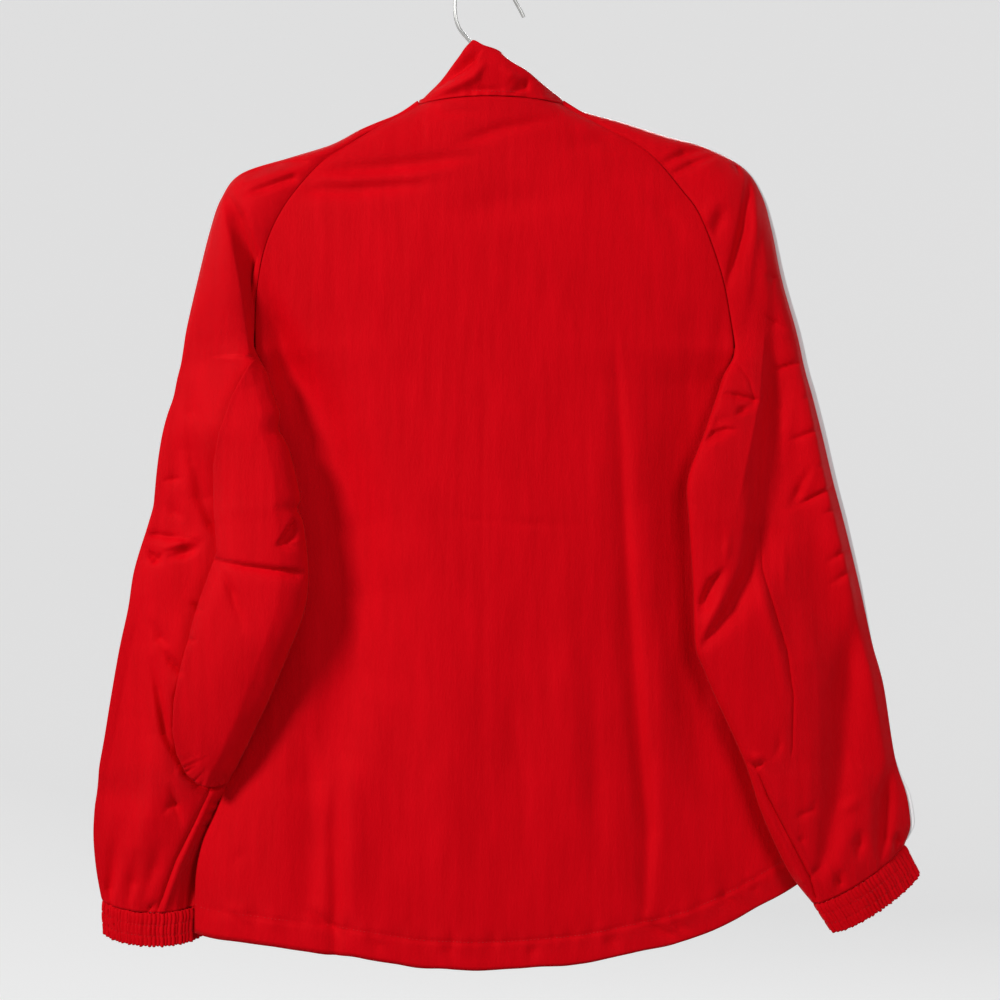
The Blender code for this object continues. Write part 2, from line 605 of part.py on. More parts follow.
def build_tape(name, table, peek, finish):
    """The white tape along an overarm: laid on the front half, round the edge where it shows."""
    last = len(table) - 1
    lift = CLOTH / 2 + SEAM_GAP + TAPE_WALL / 2 + TAPE_LIFT

    def surface(row, column):
        at = station(mix(2 / SLEEVE_ROWS, 1, row), SLEEVE_ROWS, SEAM_ROWS, UNDERARM, last - 0.1)
        s = section(table, SLEEVE_COLUMNS, at)
        width = math.hypot(s["in_x"] - s["out_x"], s["in_drop"] - s["out_drop"])
        out = Vector((s["out_x"] - s["in_x"], s["out_drop"] - s["in_drop"], 0)).normalized()
        start = 0.0 if peek else min(TAPE_INSET / width, 0.2)
        v = 1 - start - min(TAPE_WIDTH / width, 0.6) * (column**1.5 if peek else column)
        point = Vector(sleeve(table, at, v, 1))
        normal = out if peek and column == 0 else sleeve_normal(table, at, v, 1)
        shows = curve_at(peek, at) * (1 - column) ** 2 if peek else 0.0
        return tuple(point + normal * (lift + shows))

    sheet(name, SLEEVE_ROWS - 2, TAPE_COLUMNS, surface, finish, TAPE_WALL)


def build_zip(finish):
    def tape(side):
        def surface(row, column):
            drop, y = front_line(row)
            inner = CHAIN_HALF + SEAM_GAP
            x = ZIP_X + side * mix(inner, TAPE_EDGE, column)
            return x, drop, y - ZIP_SET
        return surface

    sheet("zip_tape_left", ZIP_ROWS, 1, tape(-1), finish, TAPE_THICK)
    sheet("zip_tape_right", ZIP_ROWS, 1, tape(1), finish, TAPE_THICK)

    def chain(row, column):
        drop, y = front_line(mix(*CHAIN_ENDS, row))
        return ZIP_X + mix(-CHAIN_HALF, CHAIN_HALF, column), drop, y - ZIP_SET

    sheet("zip_chain", ZIP_ROWS, 1, chain, finish, CHAIN_THICK)


# ---------------------------------------------------------------- hanger
def arc(centre, radius, start, end, steps):
    """Points on an arc: angles in degrees, anticlockwise from the right as seen."""
    points = []
    for k in range(steps + 1):
        angle = math.radians(mix(start, end, k / steps))
        points.append((centre[0] + radius * math.cos(angle),
                       centre[1] - radius * math.sin(angle), 0.0))
    return points


def rounded(points, radius, steps=5):
    """A run of straight wire with its corners rounded."""
    result = [points[0]]
    for before, corner, after in zip(points, points[1:], points[2:]):
        b, c, a = Vector(before), Vector(corner), Vector(after)
        start, end = c + (b - c).normalized() * radius, c + (a - c).normalized() * radius
        for k in range(steps + 1):
            t = k / steps
            result.append(tuple(start.lerp(c, t).lerp(c.lerp(end, t), t)))
    result.append(points[-1])
    return result


def build_hanger(finish):
    """One wire: hook, stem, left shoulder, bottom bar, right shoulder, wound round the stem."""
    hook = [(26.9, 42.0, 0), (21.3, 31.6, 0)]
    hook += arc((-6.3, SEAT_DROP + HOOK_RADIUS - WIRE / 2), HOOK_RADIUS, 29, 180, 14)
    stem = [(-28.0, 34.0, 0), (-27.4, 42.0, 0), (-25.4, 49.0, 0), (-22.0, 54.5, 0),
            (-14.5, 63.0, 0), (-7.0, 71.5, 0), (-2.2, 78.0, 0), (0.0, 84.0, 0)]
    left_low = SHOULDER_TOP + LEFT_SLOPE * HANGER_HALF
    right_low = SHOULDER_TOP + RIGHT_SLOPE * HANGER_HALF
    frame = rounded([(0, 90, 0), (0, SHOULDER_TOP, 0), (-HANGER_HALF, left_low, 0),
                     (-HANGER_HALF + 4, left_low + HANGER_DEPTH, 0),
                     (HANGER_HALF - 4, right_low + HANGER_DEPTH, 0),
                     (HANGER_HALF, right_low, 0), (WIND, SHOULDER_TOP - 1.0, 0)], 6.0)
    wind, turns, per_turn, pitch = [], 2, 12, 3.8
    for k in range(1, turns * per_turn + 1):
        angle = 2 * math.pi * k / per_turn
        wind.append((WIND * math.cos(angle), SHOULDER_TOP - 1.0 - pitch * k / per_turn,
                     WIND * math.sin(angle)))
    wire = bpy.data.curves.new("hanger", "CURVE")
    wire.dimensions = "3D"
    wire.bevel_depth = WIRE / 2 * MM
    wire.bevel_resolution = 2
    wire.use_fill_caps = True
    route = [place(*point) for point in hook + stem + frame + wind]
    spline = wire.splines.new("POLY")
    spline.points.add(len(route) - 1)
    for point, where in zip(spline.points, route):
        point.co = (*where, 1.0)
    wire.materials.append(finish)
    bpy.context.scene.collection.objects.link(bpy.data.objects.new("hanger", wire))


def block(name, x, drop, y, finish, bevel=0.0):
    """A block between two values of x, drop and y, with its edges rounded."""
    made_bm = bmesh.new()
    verts = bmesh.ops.create_cube(made_bm, size=1.0)["verts"]
    low, high = place(x[0], drop[1], y[0]), place(x[1], drop[0], y[1])
    bmesh.ops.scale(made_bm, verts=verts, vec=high - low)
    bmesh.ops.translate(made_bm, verts=verts, vec=(low + high) / 2)
    if bevel:
        bmesh.ops.bevel(made_bm, geom=made_bm.edges[:], offset=bevel * MM, segments=1,
                        profile=0.5, affect="EDGES", material=-1)
    return add_object(name, made_bm, finish)


def combine(base, other, operation):
    """Joins or cuts one solid with another, which stays as a hidden guide."""
    change = base.modifiers.new(operation.title(), "BOOLEAN")
    change.operation = operation
    change.object = other
    other.hide_render = True
    other.display_type = "WIRE"


def build_slider(finish):
    """The slider at the top of the closed zip, with the arch that carries the pull tab."""
    _, y = front_line(SLIDER_UP)
    face = y - ZIP_SET + CHAIN_THICK / 2 + PLATE_CLEAR

    def spread(middle, half):
        return middle - half, middle + half

    plate = block("zip_slider", spread(ZIP_X, PLATE_HALF[0]), spread(SLIDER_DROP, PLATE_HALF[1]),
                  (face, face + PLATE), finish, EDGE_ROUND)
    arch = block("arch_guide", spread(ZIP_X, ARCH_HALF[0]), spread(SLIDER_DROP, ARCH_HALF[1]),
                 (face + PLATE - ROOT, face + PLATE + ARCH + ARCH_CAP), finish, EDGE_ROUND)
    hole = block("arch_hole_guide", spread(ZIP_X, THROUGH), spread(SLIDER_DROP, HOLE_HALF),
                 (face + PLATE + 0.01, face + PLATE + ARCH), finish)
    combine(plate, arch, "UNION")
    combine(plate, hole, "DIFFERENCE")
    return face + PLATE


def build_pull_tab(seat, finish):
    """The pull tab hangs from the slider's arch by its crossbar, which is the hinge's axis."""
    half = TAB_THICK / 2
    y = seat + half + TAB_CLEAR
    axis = place(ZIP_X, SLIDER_DROP, y)
    tab = block("zip_tab", (ZIP_X - TAB_HALF, ZIP_X + TAB_HALF),
                (SLIDER_DROP - half, SLIDER_DROP + TAB_LENGTH), (y - half, y + half), finish,
                EDGE_ROUND)
    eye = block("eye_guide", (ZIP_X - EYE_HALF, ZIP_X + EYE_HALF),
                (SLIDER_DROP + half, SLIDER_DROP + EYE_END), (y - THROUGH, y + THROUGH), finish)
    combine(tab, eye, "DIFFERENCE")
    pivot = bpy.data.objects.new("tab_pivot", None)
    pivot.location = axis
    bpy.context.scene.collection.objects.link(pivot)
    tab.data.transform(Matrix.Translation(-axis))
    tab.parent = pivot
    eye.data.transform(Matrix.Translation(-axis))
    eye.parent = pivot


def main():
    for old in list(bpy.data.objects):
        bpy.data.objects.remove(old)
    red = material("red nylon", RED, 0.55)
    white = material("white tape", WHITE, 0.6)
    metal = material("bright wire", STEEL, 0.25, 1.0)
    build_hanger(metal)
    build_back(red)
    build_front(-1, red)
    build_front(1, red)
    build_sleeve("left", LEFT_SLEEVE, red)
    build_sleeve("right", RIGHT_SLEEVE, red)
    build_cuff("cuff_left", LEFT_SLEEVE, red)
    build_cuff("cuff_right", RIGHT_SLEEVE, red)
    build_collar(red)
    build_tape("stripe_left", LEFT_SLEEVE, None, white)
    build_tape("stripe_right", RIGHT_SLEEVE, RIGHT_PEEK, white)
    build_zip(red)
    build_pull_tab(build_slider(metal), metal)


main()
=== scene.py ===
# %% [markdown]
# # A lightweight windbreaker on a wire hanger
#
# The jacket hangs by the hanger's hook, its back to the camera. It is sewn from thin panels:
# a back, two fronts, raglan sleeves cut as a back and a front half, a stand collar and two
# gathered cuffs. A zip closes the front, and a white tape runs down each overarm.
#
# This file dresses the CAD frame. The frame fixes every place and size. Each cell makes one
# piece or one finish, and prints what it made.

# %% The frame and the tools
import math

import bmesh
import bpy
import numpy as np
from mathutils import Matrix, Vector, noise


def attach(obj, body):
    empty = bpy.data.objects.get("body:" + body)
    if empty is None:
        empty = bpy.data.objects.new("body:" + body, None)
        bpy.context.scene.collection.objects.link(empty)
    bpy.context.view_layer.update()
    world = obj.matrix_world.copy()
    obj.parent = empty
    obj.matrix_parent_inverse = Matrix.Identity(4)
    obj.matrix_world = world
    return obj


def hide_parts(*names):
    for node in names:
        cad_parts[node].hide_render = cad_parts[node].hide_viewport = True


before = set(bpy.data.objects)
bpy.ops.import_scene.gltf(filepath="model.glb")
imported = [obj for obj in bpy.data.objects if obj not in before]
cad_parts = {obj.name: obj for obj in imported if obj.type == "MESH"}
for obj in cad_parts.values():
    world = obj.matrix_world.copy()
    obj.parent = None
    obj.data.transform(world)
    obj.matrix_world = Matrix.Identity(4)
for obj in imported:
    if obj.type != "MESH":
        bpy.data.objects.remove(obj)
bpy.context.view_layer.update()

# %% [markdown]
# ## Measures
#
# All tables below are in millimetres, seen from behind the jacket: x to the right of the
# hanger's stem, drop downwards and y away from the camera. A jacket is drafted in the same way,
# as widths at a row of heights. Smooth curves run through the rows, so a few numbers carry a
# whole panel.

# %% Helpers for tables and curves
MM = 0.001
SEAT_X, SEAT_DROP = -6.3, 5.3       # the hook's seat, which is the model's origin


def place(x, drop, y):
    """From the tables' millimetres to the model's metres."""
    return Vector(((x - SEAT_X) * MM, y * MM, (SEAT_DROP - drop) * MM))


def mix(a, b, part):
    """From a at part 0 to b at part 1."""
    return a + (b - a) * part


def ease(part):
    """Smooth step from 0 to 1, for numbers and for arrays."""
    part = np.clip(part, 0.0, 1.0)
    return part * part * (3 - 2 * part)


def curve_at(values, at):
    """Values at fractional rows, on a smooth curve through a column of a table."""
    values, last = np.asarray(values, float), len(values) - 1
    at = np.clip(at, 0.0, last)
    row = np.minimum(at.astype(int), last - 1)
    part = at - row
    a, b, c, d = (values[np.clip(row + k, 0, last)] for k in (-1, 0, 1, 2))
    bend = (2 * a - 5 * b + 4 * c - d) * part + (3 * b - a - 3 * c + d) * part * part
    return 0.5 * (2 * b + ((c - a) + bend) * part)


SMOOTHING = 2.0         # how far, in mm, an outline's corners are rounded
SOFTENING = 13.0        # the same for depths, which must not show as bands across the cloth
columns_of = {}


def smoothed(places, values, reach):
    """Values at uneven places, averaged over a reach on both sides; the ends stay put."""
    gaps = np.exp(-(((places[:, None] - places[None, :]) / reach) ** 2))
    gaps *= np.gradient(places)[None, :]
    soft = gaps @ values / gaps.sum(axis=1)
    hold = np.minimum(places - places[0], places[-1] - places) / (2 * reach)
    return mix(values, soft, ease(hold))


def section(table, names, ats):
    """All the columns of a table at fractional rows, by name, on smooth curves."""
    if id(table) not in columns_of:
        fine = np.linspace(0, len(table) - 1, 24 * (len(table) - 1) + 1)
        raw = {name: curve_at([row[k] for row in table], fine) for k, name in enumerate(names)}
        runs = np.hypot(np.diff(raw[names[0]]), np.diff(raw[names[1]]))
        down = np.concatenate(([0.0], np.cumsum(np.maximum(runs, 0.01))))
        soft = {name: smoothed(down, line, SOFTENING if "y" in name or "puff" in name
                               else SMOOTHING) for name, line in raw.items()}
        columns_of[id(table)] = (fine, soft)
    fine, soft = columns_of[id(table)]
    return {name: np.interp(ats, fine, line) for name, line in soft.items()}


def smooth_lookup(table, reach):
    """A table's columns against its first one, sampled finely and smoothed."""
    keys = np.linspace(table[0][0], table[-1][0], 161)
    lines = [smoothed(keys, np.interp(keys, [row[0] for row in table], [row[k] for row in table]),
                      reach) for k in range(1, len(table[0]))]
    return lambda at: [np.interp(at, keys, line) for line in lines]


print("the hook's seat lies at", tuple(place(SEAT_X, SEAT_DROP, 0)), "in the model")

# %% [markdown]
# ## The camera
#
# The photograph was taken straight from behind, from a few metres away. A long lens keeps the
# two shoulders level. The camera is put where 790 mm of the jacket's own plane fill the frame.

# %% Camera
FRAME_WIDTH = 0.790
DISTANCE = 2.4                  # from the plane of the jacket's back
BACK_Y, VIEW_X, VIEW_Z = -0.02, 0.0142, -0.4213
SENSOR = 36.0
camera = bpy.data.objects.new("camera", bpy.data.cameras.new("camera"))
camera.data.sensor_width = SENSOR
camera.data.lens = SENSOR * DISTANCE / FRAME_WIDTH
camera.location = (VIEW_X, BACK_Y - DISTANCE, VIEW_Z)
camera.rotation_euler = (math.radians(90), 0, 0)
bpy.context.scene.collection.objects.link(camera)
bpy.context.scene.camera = camera
print("lens", round(camera.data.lens, 1), "mm")

# %% [markdown]
# ## Floor, backdrop and light
#
# A studio backdrop is one pale sheet that curves up from the floor, so no edge shows behind the
# jacket. Here it goes all the way round, as a profile spun about the upright axis, because the
# part is looked at from every side. One broad lamp at the upper left gives the soft shadows of
# a window, and a weaker one opposite fills them. A third lights the fronts from the other side,
# and the world adds an even base.

# %% Backdrop
FLOOR, WALL_HEIGHT = -1.45, 5.5
REACH, HOLE = 4.2, 0.02         # radii of the sheet's outer wall and of its centre
SWEEP, SWEEP_STEPS = 0.9, 12    # radius of the curve from floor to wall
TURN_STEPS = 96


def build_backdrop():
    pale = bmesh.new()
    profile = [pale.verts.new((HOLE, 0, FLOOR)), pale.verts.new((REACH - SWEEP, 0, FLOOR))]
    for k in range(1, SWEEP_STEPS + 1):
        angle = math.radians(90 / SWEEP_STEPS * k)
        profile.append(pale.verts.new((REACH - SWEEP + SWEEP * math.sin(angle), 0,
                                       FLOOR + SWEEP * (1 - math.cos(angle)))))
    profile.append(pale.verts.new((REACH, 0, FLOOR + WALL_HEIGHT)))
    edges = [pale.edges.new(pair) for pair in zip(profile, profile[1:])]
    bmesh.ops.spin(pale, geom=profile + edges, cent=(0, 0, 0), axis=(0, 0, 1),
                   angle=2 * math.pi, steps=TURN_STEPS, use_merge=True)
    bmesh.ops.recalc_face_normals(pale, faces=pale.faces)
    mesh = bpy.data.meshes.new("backdrop")
    pale.to_mesh(mesh)
    pale.free()
    mesh.shade_smooth()
    backdrop = bpy.data.objects.new("backdrop", mesh)
    bpy.context.scene.collection.objects.link(backdrop)
    return backdrop


backdrop = build_backdrop()
paper = bpy.data.materials.new("pale paper")
paper.use_nodes = True
sheet_of_paper = paper.node_tree.nodes["Principled BSDF"]
sheet_of_paper.inputs["Base Color"].default_value = (0.8, 0.8, 0.795, 1)
sheet_of_paper.inputs["Roughness"].default_value = 0.95
sheet_of_paper.inputs["Emission Color"].default_value = (1.0, 1.0, 0.99, 1)
sheet_of_paper.inputs["Emission Strength"].default_value = 0.4
backdrop.data.materials.append(paper)
backdrop.visible_diffuse = False        # the paper's own glow doesn't flatten the folds
print("backdrop", len(backdrop.data.polygons), "faces")

# %% Lamps and world
JACKET_MIDDLE = Vector((0.014, 0.0, -0.42))


def lamp(name, where, size, power, tint=(1, 1, 1)):
    """A square area lamp that points at the middle of the jacket."""
    light = bpy.data.lights.new(name, "AREA")
    light.size = size
    light.energy = power
    light.color = tint
    made = bpy.data.objects.new(name, light)
    made.location = where
    aim = JACKET_MIDDLE - Vector(where)
    made.rotation_euler = aim.to_track_quat("-Z", "Y").to_euler()
    bpy.context.scene.collection.objects.link(made)
    print("lamp", name, size, "m across,", power, "W")


lamp("window", (-2.25, -1.65, 0.9), 0.55, 80, (1.0, 0.99, 0.98))
lamp("fill", (1.5, -2.5, 0.6), 1.2, 32)
lamp("front side", (0.5, 2.8, 0.9), 0.8, 60)
world = bpy.data.worlds.new("studio")
world.use_nodes = True
world.node_tree.nodes["Background"].inputs["Color"].default_value = (0.93, 0.95, 1.0, 1)
world.node_tree.nodes["Background"].inputs["Strength"].default_value = 0.22
bpy.context.scene.world = world
bpy.context.scene.view_settings.view_transform = "Standard"

# %% [markdown]
# ## The cut of the jacket
#
# A raglan sleeve is one flattened tube from the neck to the cuff. Each row of its table is one
# section: where the inner edge and the overarm lie, how far each stands towards the camera and
# how round each half is. Above the underarm the inner edge is the raglan seam, and the section
# is open there; below it the section closes into a tube.

# %% Tables of the sleeves
SLEEVE = ("in_x", "in_drop", "out_x", "out_drop", "y_back", "y_front", "y_out",
          "puff_back", "puff_front", "tube", "sag", "power")
LEFT_SLEEVE = (
    (-55, 113, -58, 113, -8.0, 9, 0, 0, 0, 0.0, 0, 0.5),
    (-71, 124, -74, 120, -10, 11, 0, 0, 0, 0.0, 0, 0.5),
    (-96, 135, -101, 131, -12, 13, 0, 1, 1, 0.0, 0, 0.5),
    (-115, 147, -126, 144, -14, 15, 0, 2, 1, 0.0, 0, 0.5),
    (-133, 159, -158, 154, -16, 16, 0, 3, 2, 0.0, 0, 0.5),
    (-154, 182, -198, 167, -18, 17, 0, 4, 2, 0.0, 0, 0.5),
    (-169, 205, -214, 187, -19, 17, 0, 4, 2, 0.0, 0, 0.5),
    (-179, 230, -223, 213, -17, 16, 0, 4, 2, 0.0, 0, 0.5),
    (-185, 261, -232, 249, -12, 11, 0, 5, 3, 0.1, 0, 0.5),
    (-187, 289, -241, 288, -5, 3, 0, 7, 3, 0.4, 0, 0.5),
    (-187, 306, -244, 306, -4, -4, 0, 9, 3, 0.8, 0, 0.5),
    (-182.5, 316, -246, 318, -9.5, -9.5, 0, 10.6, 2, 1.0, 0, 0.5),
    (-176, 328, -249, 330, -13.3, -13.3, 0, 12, 3, 1.0, 0, 0.5),
    (-171, 345, -252, 345, -16, -16, -1, 13, 4, 1.0, 0, 0.5),
    (-166, 358, -256.5, 358, -17.5, -17.5, -1.5, 13.5, 4, 1.0, 0, 0.5),
    (-167, 371, -260, 371, -18.8, -18.8, -2, 14, 4, 1.0, 0, 0.5),
    (-159.5, 384, -262.5, 384, -19.9, -19.9, -2, 14.4, 4.3, 1.0, 0, 0.5),
    (-154, 403, -265, 402, -21, -21, -2, 14.7, 4.7, 1.0, 0, 0.5),
    (-149.5, 425, -267, 423, -22, -22, -2, 15, 5, 1.0, 0, 0.5),
    (-152, 434, -268, 432, -22.2, -22.2, -2, 15, 5, 1.0, 0, 0.5),
    (-147, 446, -272, 446, -22.5, -22.5, -2, 15, 5, 1.0, 0, 0.5),
    (-143, 482, -283, 482, -23, -23, -2, 16, 5, 1.0, 0, 0.5),
    (-146, 513, -288, 513, -23, -23, -2, 16, 5, 1.0, 0, 0.5),
    (-158, 545, -295, 545, -21.5, -21.5, -2, 16, 5, 1.0, 0, 0.5),
    (-175, 585, -302, 585, -17, -17, -2, 14.5, 5, 1.0, 0, 0.5),
    (-190, 616, -307, 616, -12, -12, -2, 13.5, 6, 1.0, 0, 0.55),
    (-201, 638, -311, 638, -7, -7, -1, 13.5, 8, 1.0, 0, 0.7),
    (-207, 648, -312, 649, -4, -4, 0, 14, 8, 1.0, 0, 0.8),
    (-209, 659, -313, 659, -1, -1, 0, 16, 8, 1.0, 0, 0.9),
    (-208, 675, -315, 673, 4, 4, 0, 16, 8, 1.0, 1, 1.0),
    (-213, 698, -316, 695, 8, 8, 1, 16, 9, 1.0, 3, 1.0),
    (-222, 723, -314, 720, 10, 10, 2, 15, 10, 1.0, 7, 0.9),
    (-227, 744, -310, 743, 11, 11, 3, 14, 10, 1.0, 11, 0.7),
)
RIGHT_SLEEVE = (
    (56, 113, 59, 113, -8.0, 9, 0, 0, 0, 0.0, 0, 0.5),
    (77, 126, 81, 120, -10, 11, 0, 0, 0, 0.0, 0, 0.5),
    (99, 136, 107, 127, -12, 13, 0, 1, 1, 0.0, 0, 0.5),
    (119, 147, 138, 137, -14, 15, 0, 2, 1, 0.0, 0, 0.5),
    (134, 160, 170, 146, -16, 16, 0, 3, 2, 0.0, 0, 0.5),
    (152, 182, 201, 162, -18, 17, 0, 4, 2, 0.0, 0, 0.5),
    (164, 198, 216, 184, -19, 17, 0, 4, 2, 0.0, 0, 0.5),
    (175, 223, 224, 212, -18, 16, 0, 4, 2, 0.0, 0, 0.5),
    (185, 254, 232, 251, -15, 11, 0, 5, 3, 0.1, 0, 0.5),
    (192, 290, 243, 290, -10, 3, 0, 7, 3, 0.4, 0, 0.5),
    (194, 306, 247, 307, -8.5, -6, 0, 9, 3, 0.8, 0, 0.5),
    (192, 316, 249, 317, -13, -13, 0, 11, 2, 1.0, 0, 0.5),
    (185, 328, 252, 329, -14, -14, 0, 12, 3, 1.0, 0, 0.5),
    (180, 343, 256, 343, -16, -16, -1, 13, 4, 1.0, 0, 0.5),
    (169, 375, 264, 375, -19, -19, -2, 14, 4, 1.0, 0, 0.5),
    (156, 411, 273, 413, -22, -22, -2, 15, 5, 1.0, 0, 0.5),
    (157, 443, 281, 443, -23, -23, -2, 16, 5, 1.0, 0, 0.5),
    (160, 492, 293, 492, -23, -23, -2, 16, 5, 1.0, 0, 0.5),
    (162, 541, 304, 541, -23, -23, -2, 17, 5, 1.0, 0, 0.5),
    (169, 561, 310, 562, -22, -22, -2, 17, 5, 1.0, 0, 0.5),
    (177, 580, 314, 580, -21, -21, -2, 17, 6, 1.0, 0, 0.5),
    (201, 633, 322, 631, -20, -20, -2, 17, 6, 1.0, 0, 0.5),
    (214, 672, 331, 660, -19, -19, -2, 16, 7, 1.0, 1, 0.5),
    (229, 706, 334, 678, -18, -18, -2, 16, 8, 1.0, 3, 0.5),
    (240, 726, 334, 688, -18, -18, -2, 15, 9, 1.0, 5, 0.5),
    (254, 743, 330, 699, -18, -18, -2, 14, 10, 1.0, 8, 0.5),
)
SLEEVES = {-1: LEFT_SLEEVE, 1: RIGHT_SLEEVE}        # by side: minus is left, seen from behind
UNDERARM = 10       # the row where the raglan seams end and the side seams begin
print("sleeve rows", len(LEFT_SLEEVE), len(RIGHT_SLEEVE))

# %% [markdown]
# The body hangs between the two raglan seams and, below the underarm, between the side seams.
# The neck seam is an oval tipped forward, low at the front. The stand collar has sunk on itself,
# so its outline seen from behind, the "knee", lies below its own upper edge at the sides.

# %% Tables of the body, the hem and the collar
SIDE = ("left_x", "left_drop", "left_y", "right_x", "right_drop", "right_y")
SIDES = (
    (-187, 306, 0, 194, 306, 0),
    (-188, 325, 0, 195, 325, 0),
    (-187, 350, 0, 194, 350, 0),
    (-189, 410, 0, 197, 410, 0),
    (-190, 500, 0, 201, 500, 1),
    (-194, 590, 0, 206, 590, 1),
    (-203, 630, -1, 210, 632, 1),
    (-210, 650, -3, 218, 655, 1),
    (-217, 672, -7, 228, 682, 1),
    (-228, 697, -7, 238, 705, 1),
    (-234, 725, -7, 244, 718, 1),
    (-235, 770, -7, 247, 731, 1),
)
# drop, y of the back and of the front at their middles, and how square the section is
DEPTHS = (
    (111, -26, 23, 0.5),
    (150, -27.5, 25, 0.7),
    (200, -28, 25, 0.8),
    (255, -27, 24, 0.72),
    (306, -26, 25, 0.62),
    (400, -26, 25.5, 0.6),
    (600, -27, 25, 0.6),
    (720, -32, 22, 0.6),
    (820, -38, 19, 0.6),
)
# share of the way across, and how far the hem hangs below its two corners
HEM = ((0.0, 0), (0.04, 6), (0.1, 11), (0.22, 22), (0.38, 40), (0.5, 46),
       (0.64, 46), (0.81, 36), (0.9, 21), (0.95, 10), (1.0, 0))
depths, hem_line = smooth_lookup(DEPTHS, 30.0), smooth_lookup(HEM, 0.03)
COLLAR = ("angle", "knee_x", "knee_drop", "knee_y", "top_x", "top_drop", "top_y")
COLLAR_ROWS = (
    (-174, -6, 144, 27, -6, 119, 27),
    (-160, -18, 141, 26, -15, 117, 27),
    (-140, -33, 128, 21, -28, 108, 20),
    (-115, -46, 111, 9, -26, 101, 11),
    (-90, -47, 105, -2, -25, 98, 3),
    (-65, -36, 92, -12, -21, 88, -6),
    (-40, -26, 79, -20, -17, 76, -13),
    (-20, -18, 74, -25, -14, 64, -22),
    (0, -4, 84, -29, -5, 68, -26),
    (20, 13, 83, -27, 9, 74, -23),
    (40, 27, 87, -22, 18, 90, -14),
    (60, 39, 96, -15, 23, 97, -5),
    (90, 54, 108, -1, 24, 102, 6),
    (115, 47, 113, 9, 24, 106, 14),
    (140, 36, 129, 21, 28, 109, 20),
    (160, 22, 141, 26, 18, 117, 27),
    (174, 7, 144, 27, 7, 119, 27),
)
NECK_X, NECK_HALF = 0.5, 58.5
NECK_BACK, NECK_FRONT = 26.0, 24.0
NECK_TOP, NECK_SIDE, NECK_LOW = 108.5, 113.0, 170.0
FOOT_GAP = 0.6          # between the neck seam and the collar's foot
BACK_NECK_ANGLE, FRONT_NECK_ANGLE = 72.0, 112.0


def neck(angle):
    """The neck seam: angle in degrees from the back, minus to the left."""
    side, along = np.sin(np.radians(angle)), np.cos(np.radians(angle))
    middle, depth = (np.where(along > 0, *pair) for pair in ((NECK_TOP, NECK_LOW),
                                                             (NECK_BACK, NECK_FRONT)))
    return NECK_X + NECK_HALF * side, mix(middle, NECK_SIDE, side * side), -depth * along


FRONT_LEVEL = neck(FRONT_NECK_ANGLE)[1]
EDGE_SHIFT = 0.3        # each half of a tube stands this far from the plane where they meet

# %% [markdown]
# Three functions turn the tables into surfaces: one for a sleeve, one for the body and one for
# the collar. Each takes two shares from 0 to 1 or a row number, and gives one point. The same
# functions place seams and stitches later, so these always lie on the cloth.

# %% Surfaces
NECK_ROWS = 4           # the sleeve's first rows, which end at the collar
FULLEST = 0.62          # below 1, a tube's fullest place lies nearer its inner edge
FRONT_SAG = -0.4        # the front half of a sleeve's end hangs the other way
FRONT_SHORTER = 4.0


def raglan_edge(side, row, face):
    """Where a sleeve meets the body: the inner edge of a section above the underarm."""
    table = SLEEVES[side]
    s = section(table, SLEEVE, row)
    if face < 0:
        return s["in_x"], s["in_drop"], s["y_back"]
    near_neck = np.clip(1 - row / NECK_ROWS, 0, 1) ** 2
    corner, first = neck(side * FRONT_NECK_ANGLE), table[0]
    return (s["in_x"] + near_neck * (corner[0] - first[0]),
            s["in_drop"] + near_neck * (corner[1] - first[1]),
            s["y_front"] + near_neck * (corner[2] - first[5]))


def sleeve(side, at, v, face):
    """A sleeve's surface: v runs from the inner edge to the overarm, face is -1 at the back."""
    s = section(SLEEVES[side], SLEEVE, at)
    in_x, in_drop, y_in = raglan_edge(side, at, face)
    arch = np.clip(4 * v * (1 - v), 0, 1)
    if face < 0:        # fullest near the inner edge, flat towards the overarm
        lean = np.clip(v, 0, 1) ** FULLEST
        full = np.clip(4 * lean * (1 - lean), 0, 1)
        swell = mix(arch, np.where(lean < 0.5, full ** s["power"], full), s["tube"])
    else:
        swell = mix(arch, np.sqrt(arch), s["tube"])
    y_raglan = s["y_out"] + (y_in - s["y_out"]) * np.sqrt(np.clip(1 - v * v, 0, 1))
    y = mix(y_raglan, mix(y_in, s["y_out"], v), s["tube"])
    y = y + face * (s["puff_back"] if face < 0 else s["puff_front"]) * swell
    sag = s["sag"] * (1.0 if face < 0 else FRONT_SAG)
    drop = mix(in_drop, s["out_drop"], v) + sag * np.sqrt(arch)
    return mix(in_x, s["out_x"], v), drop, y + face * EDGE_SHIFT


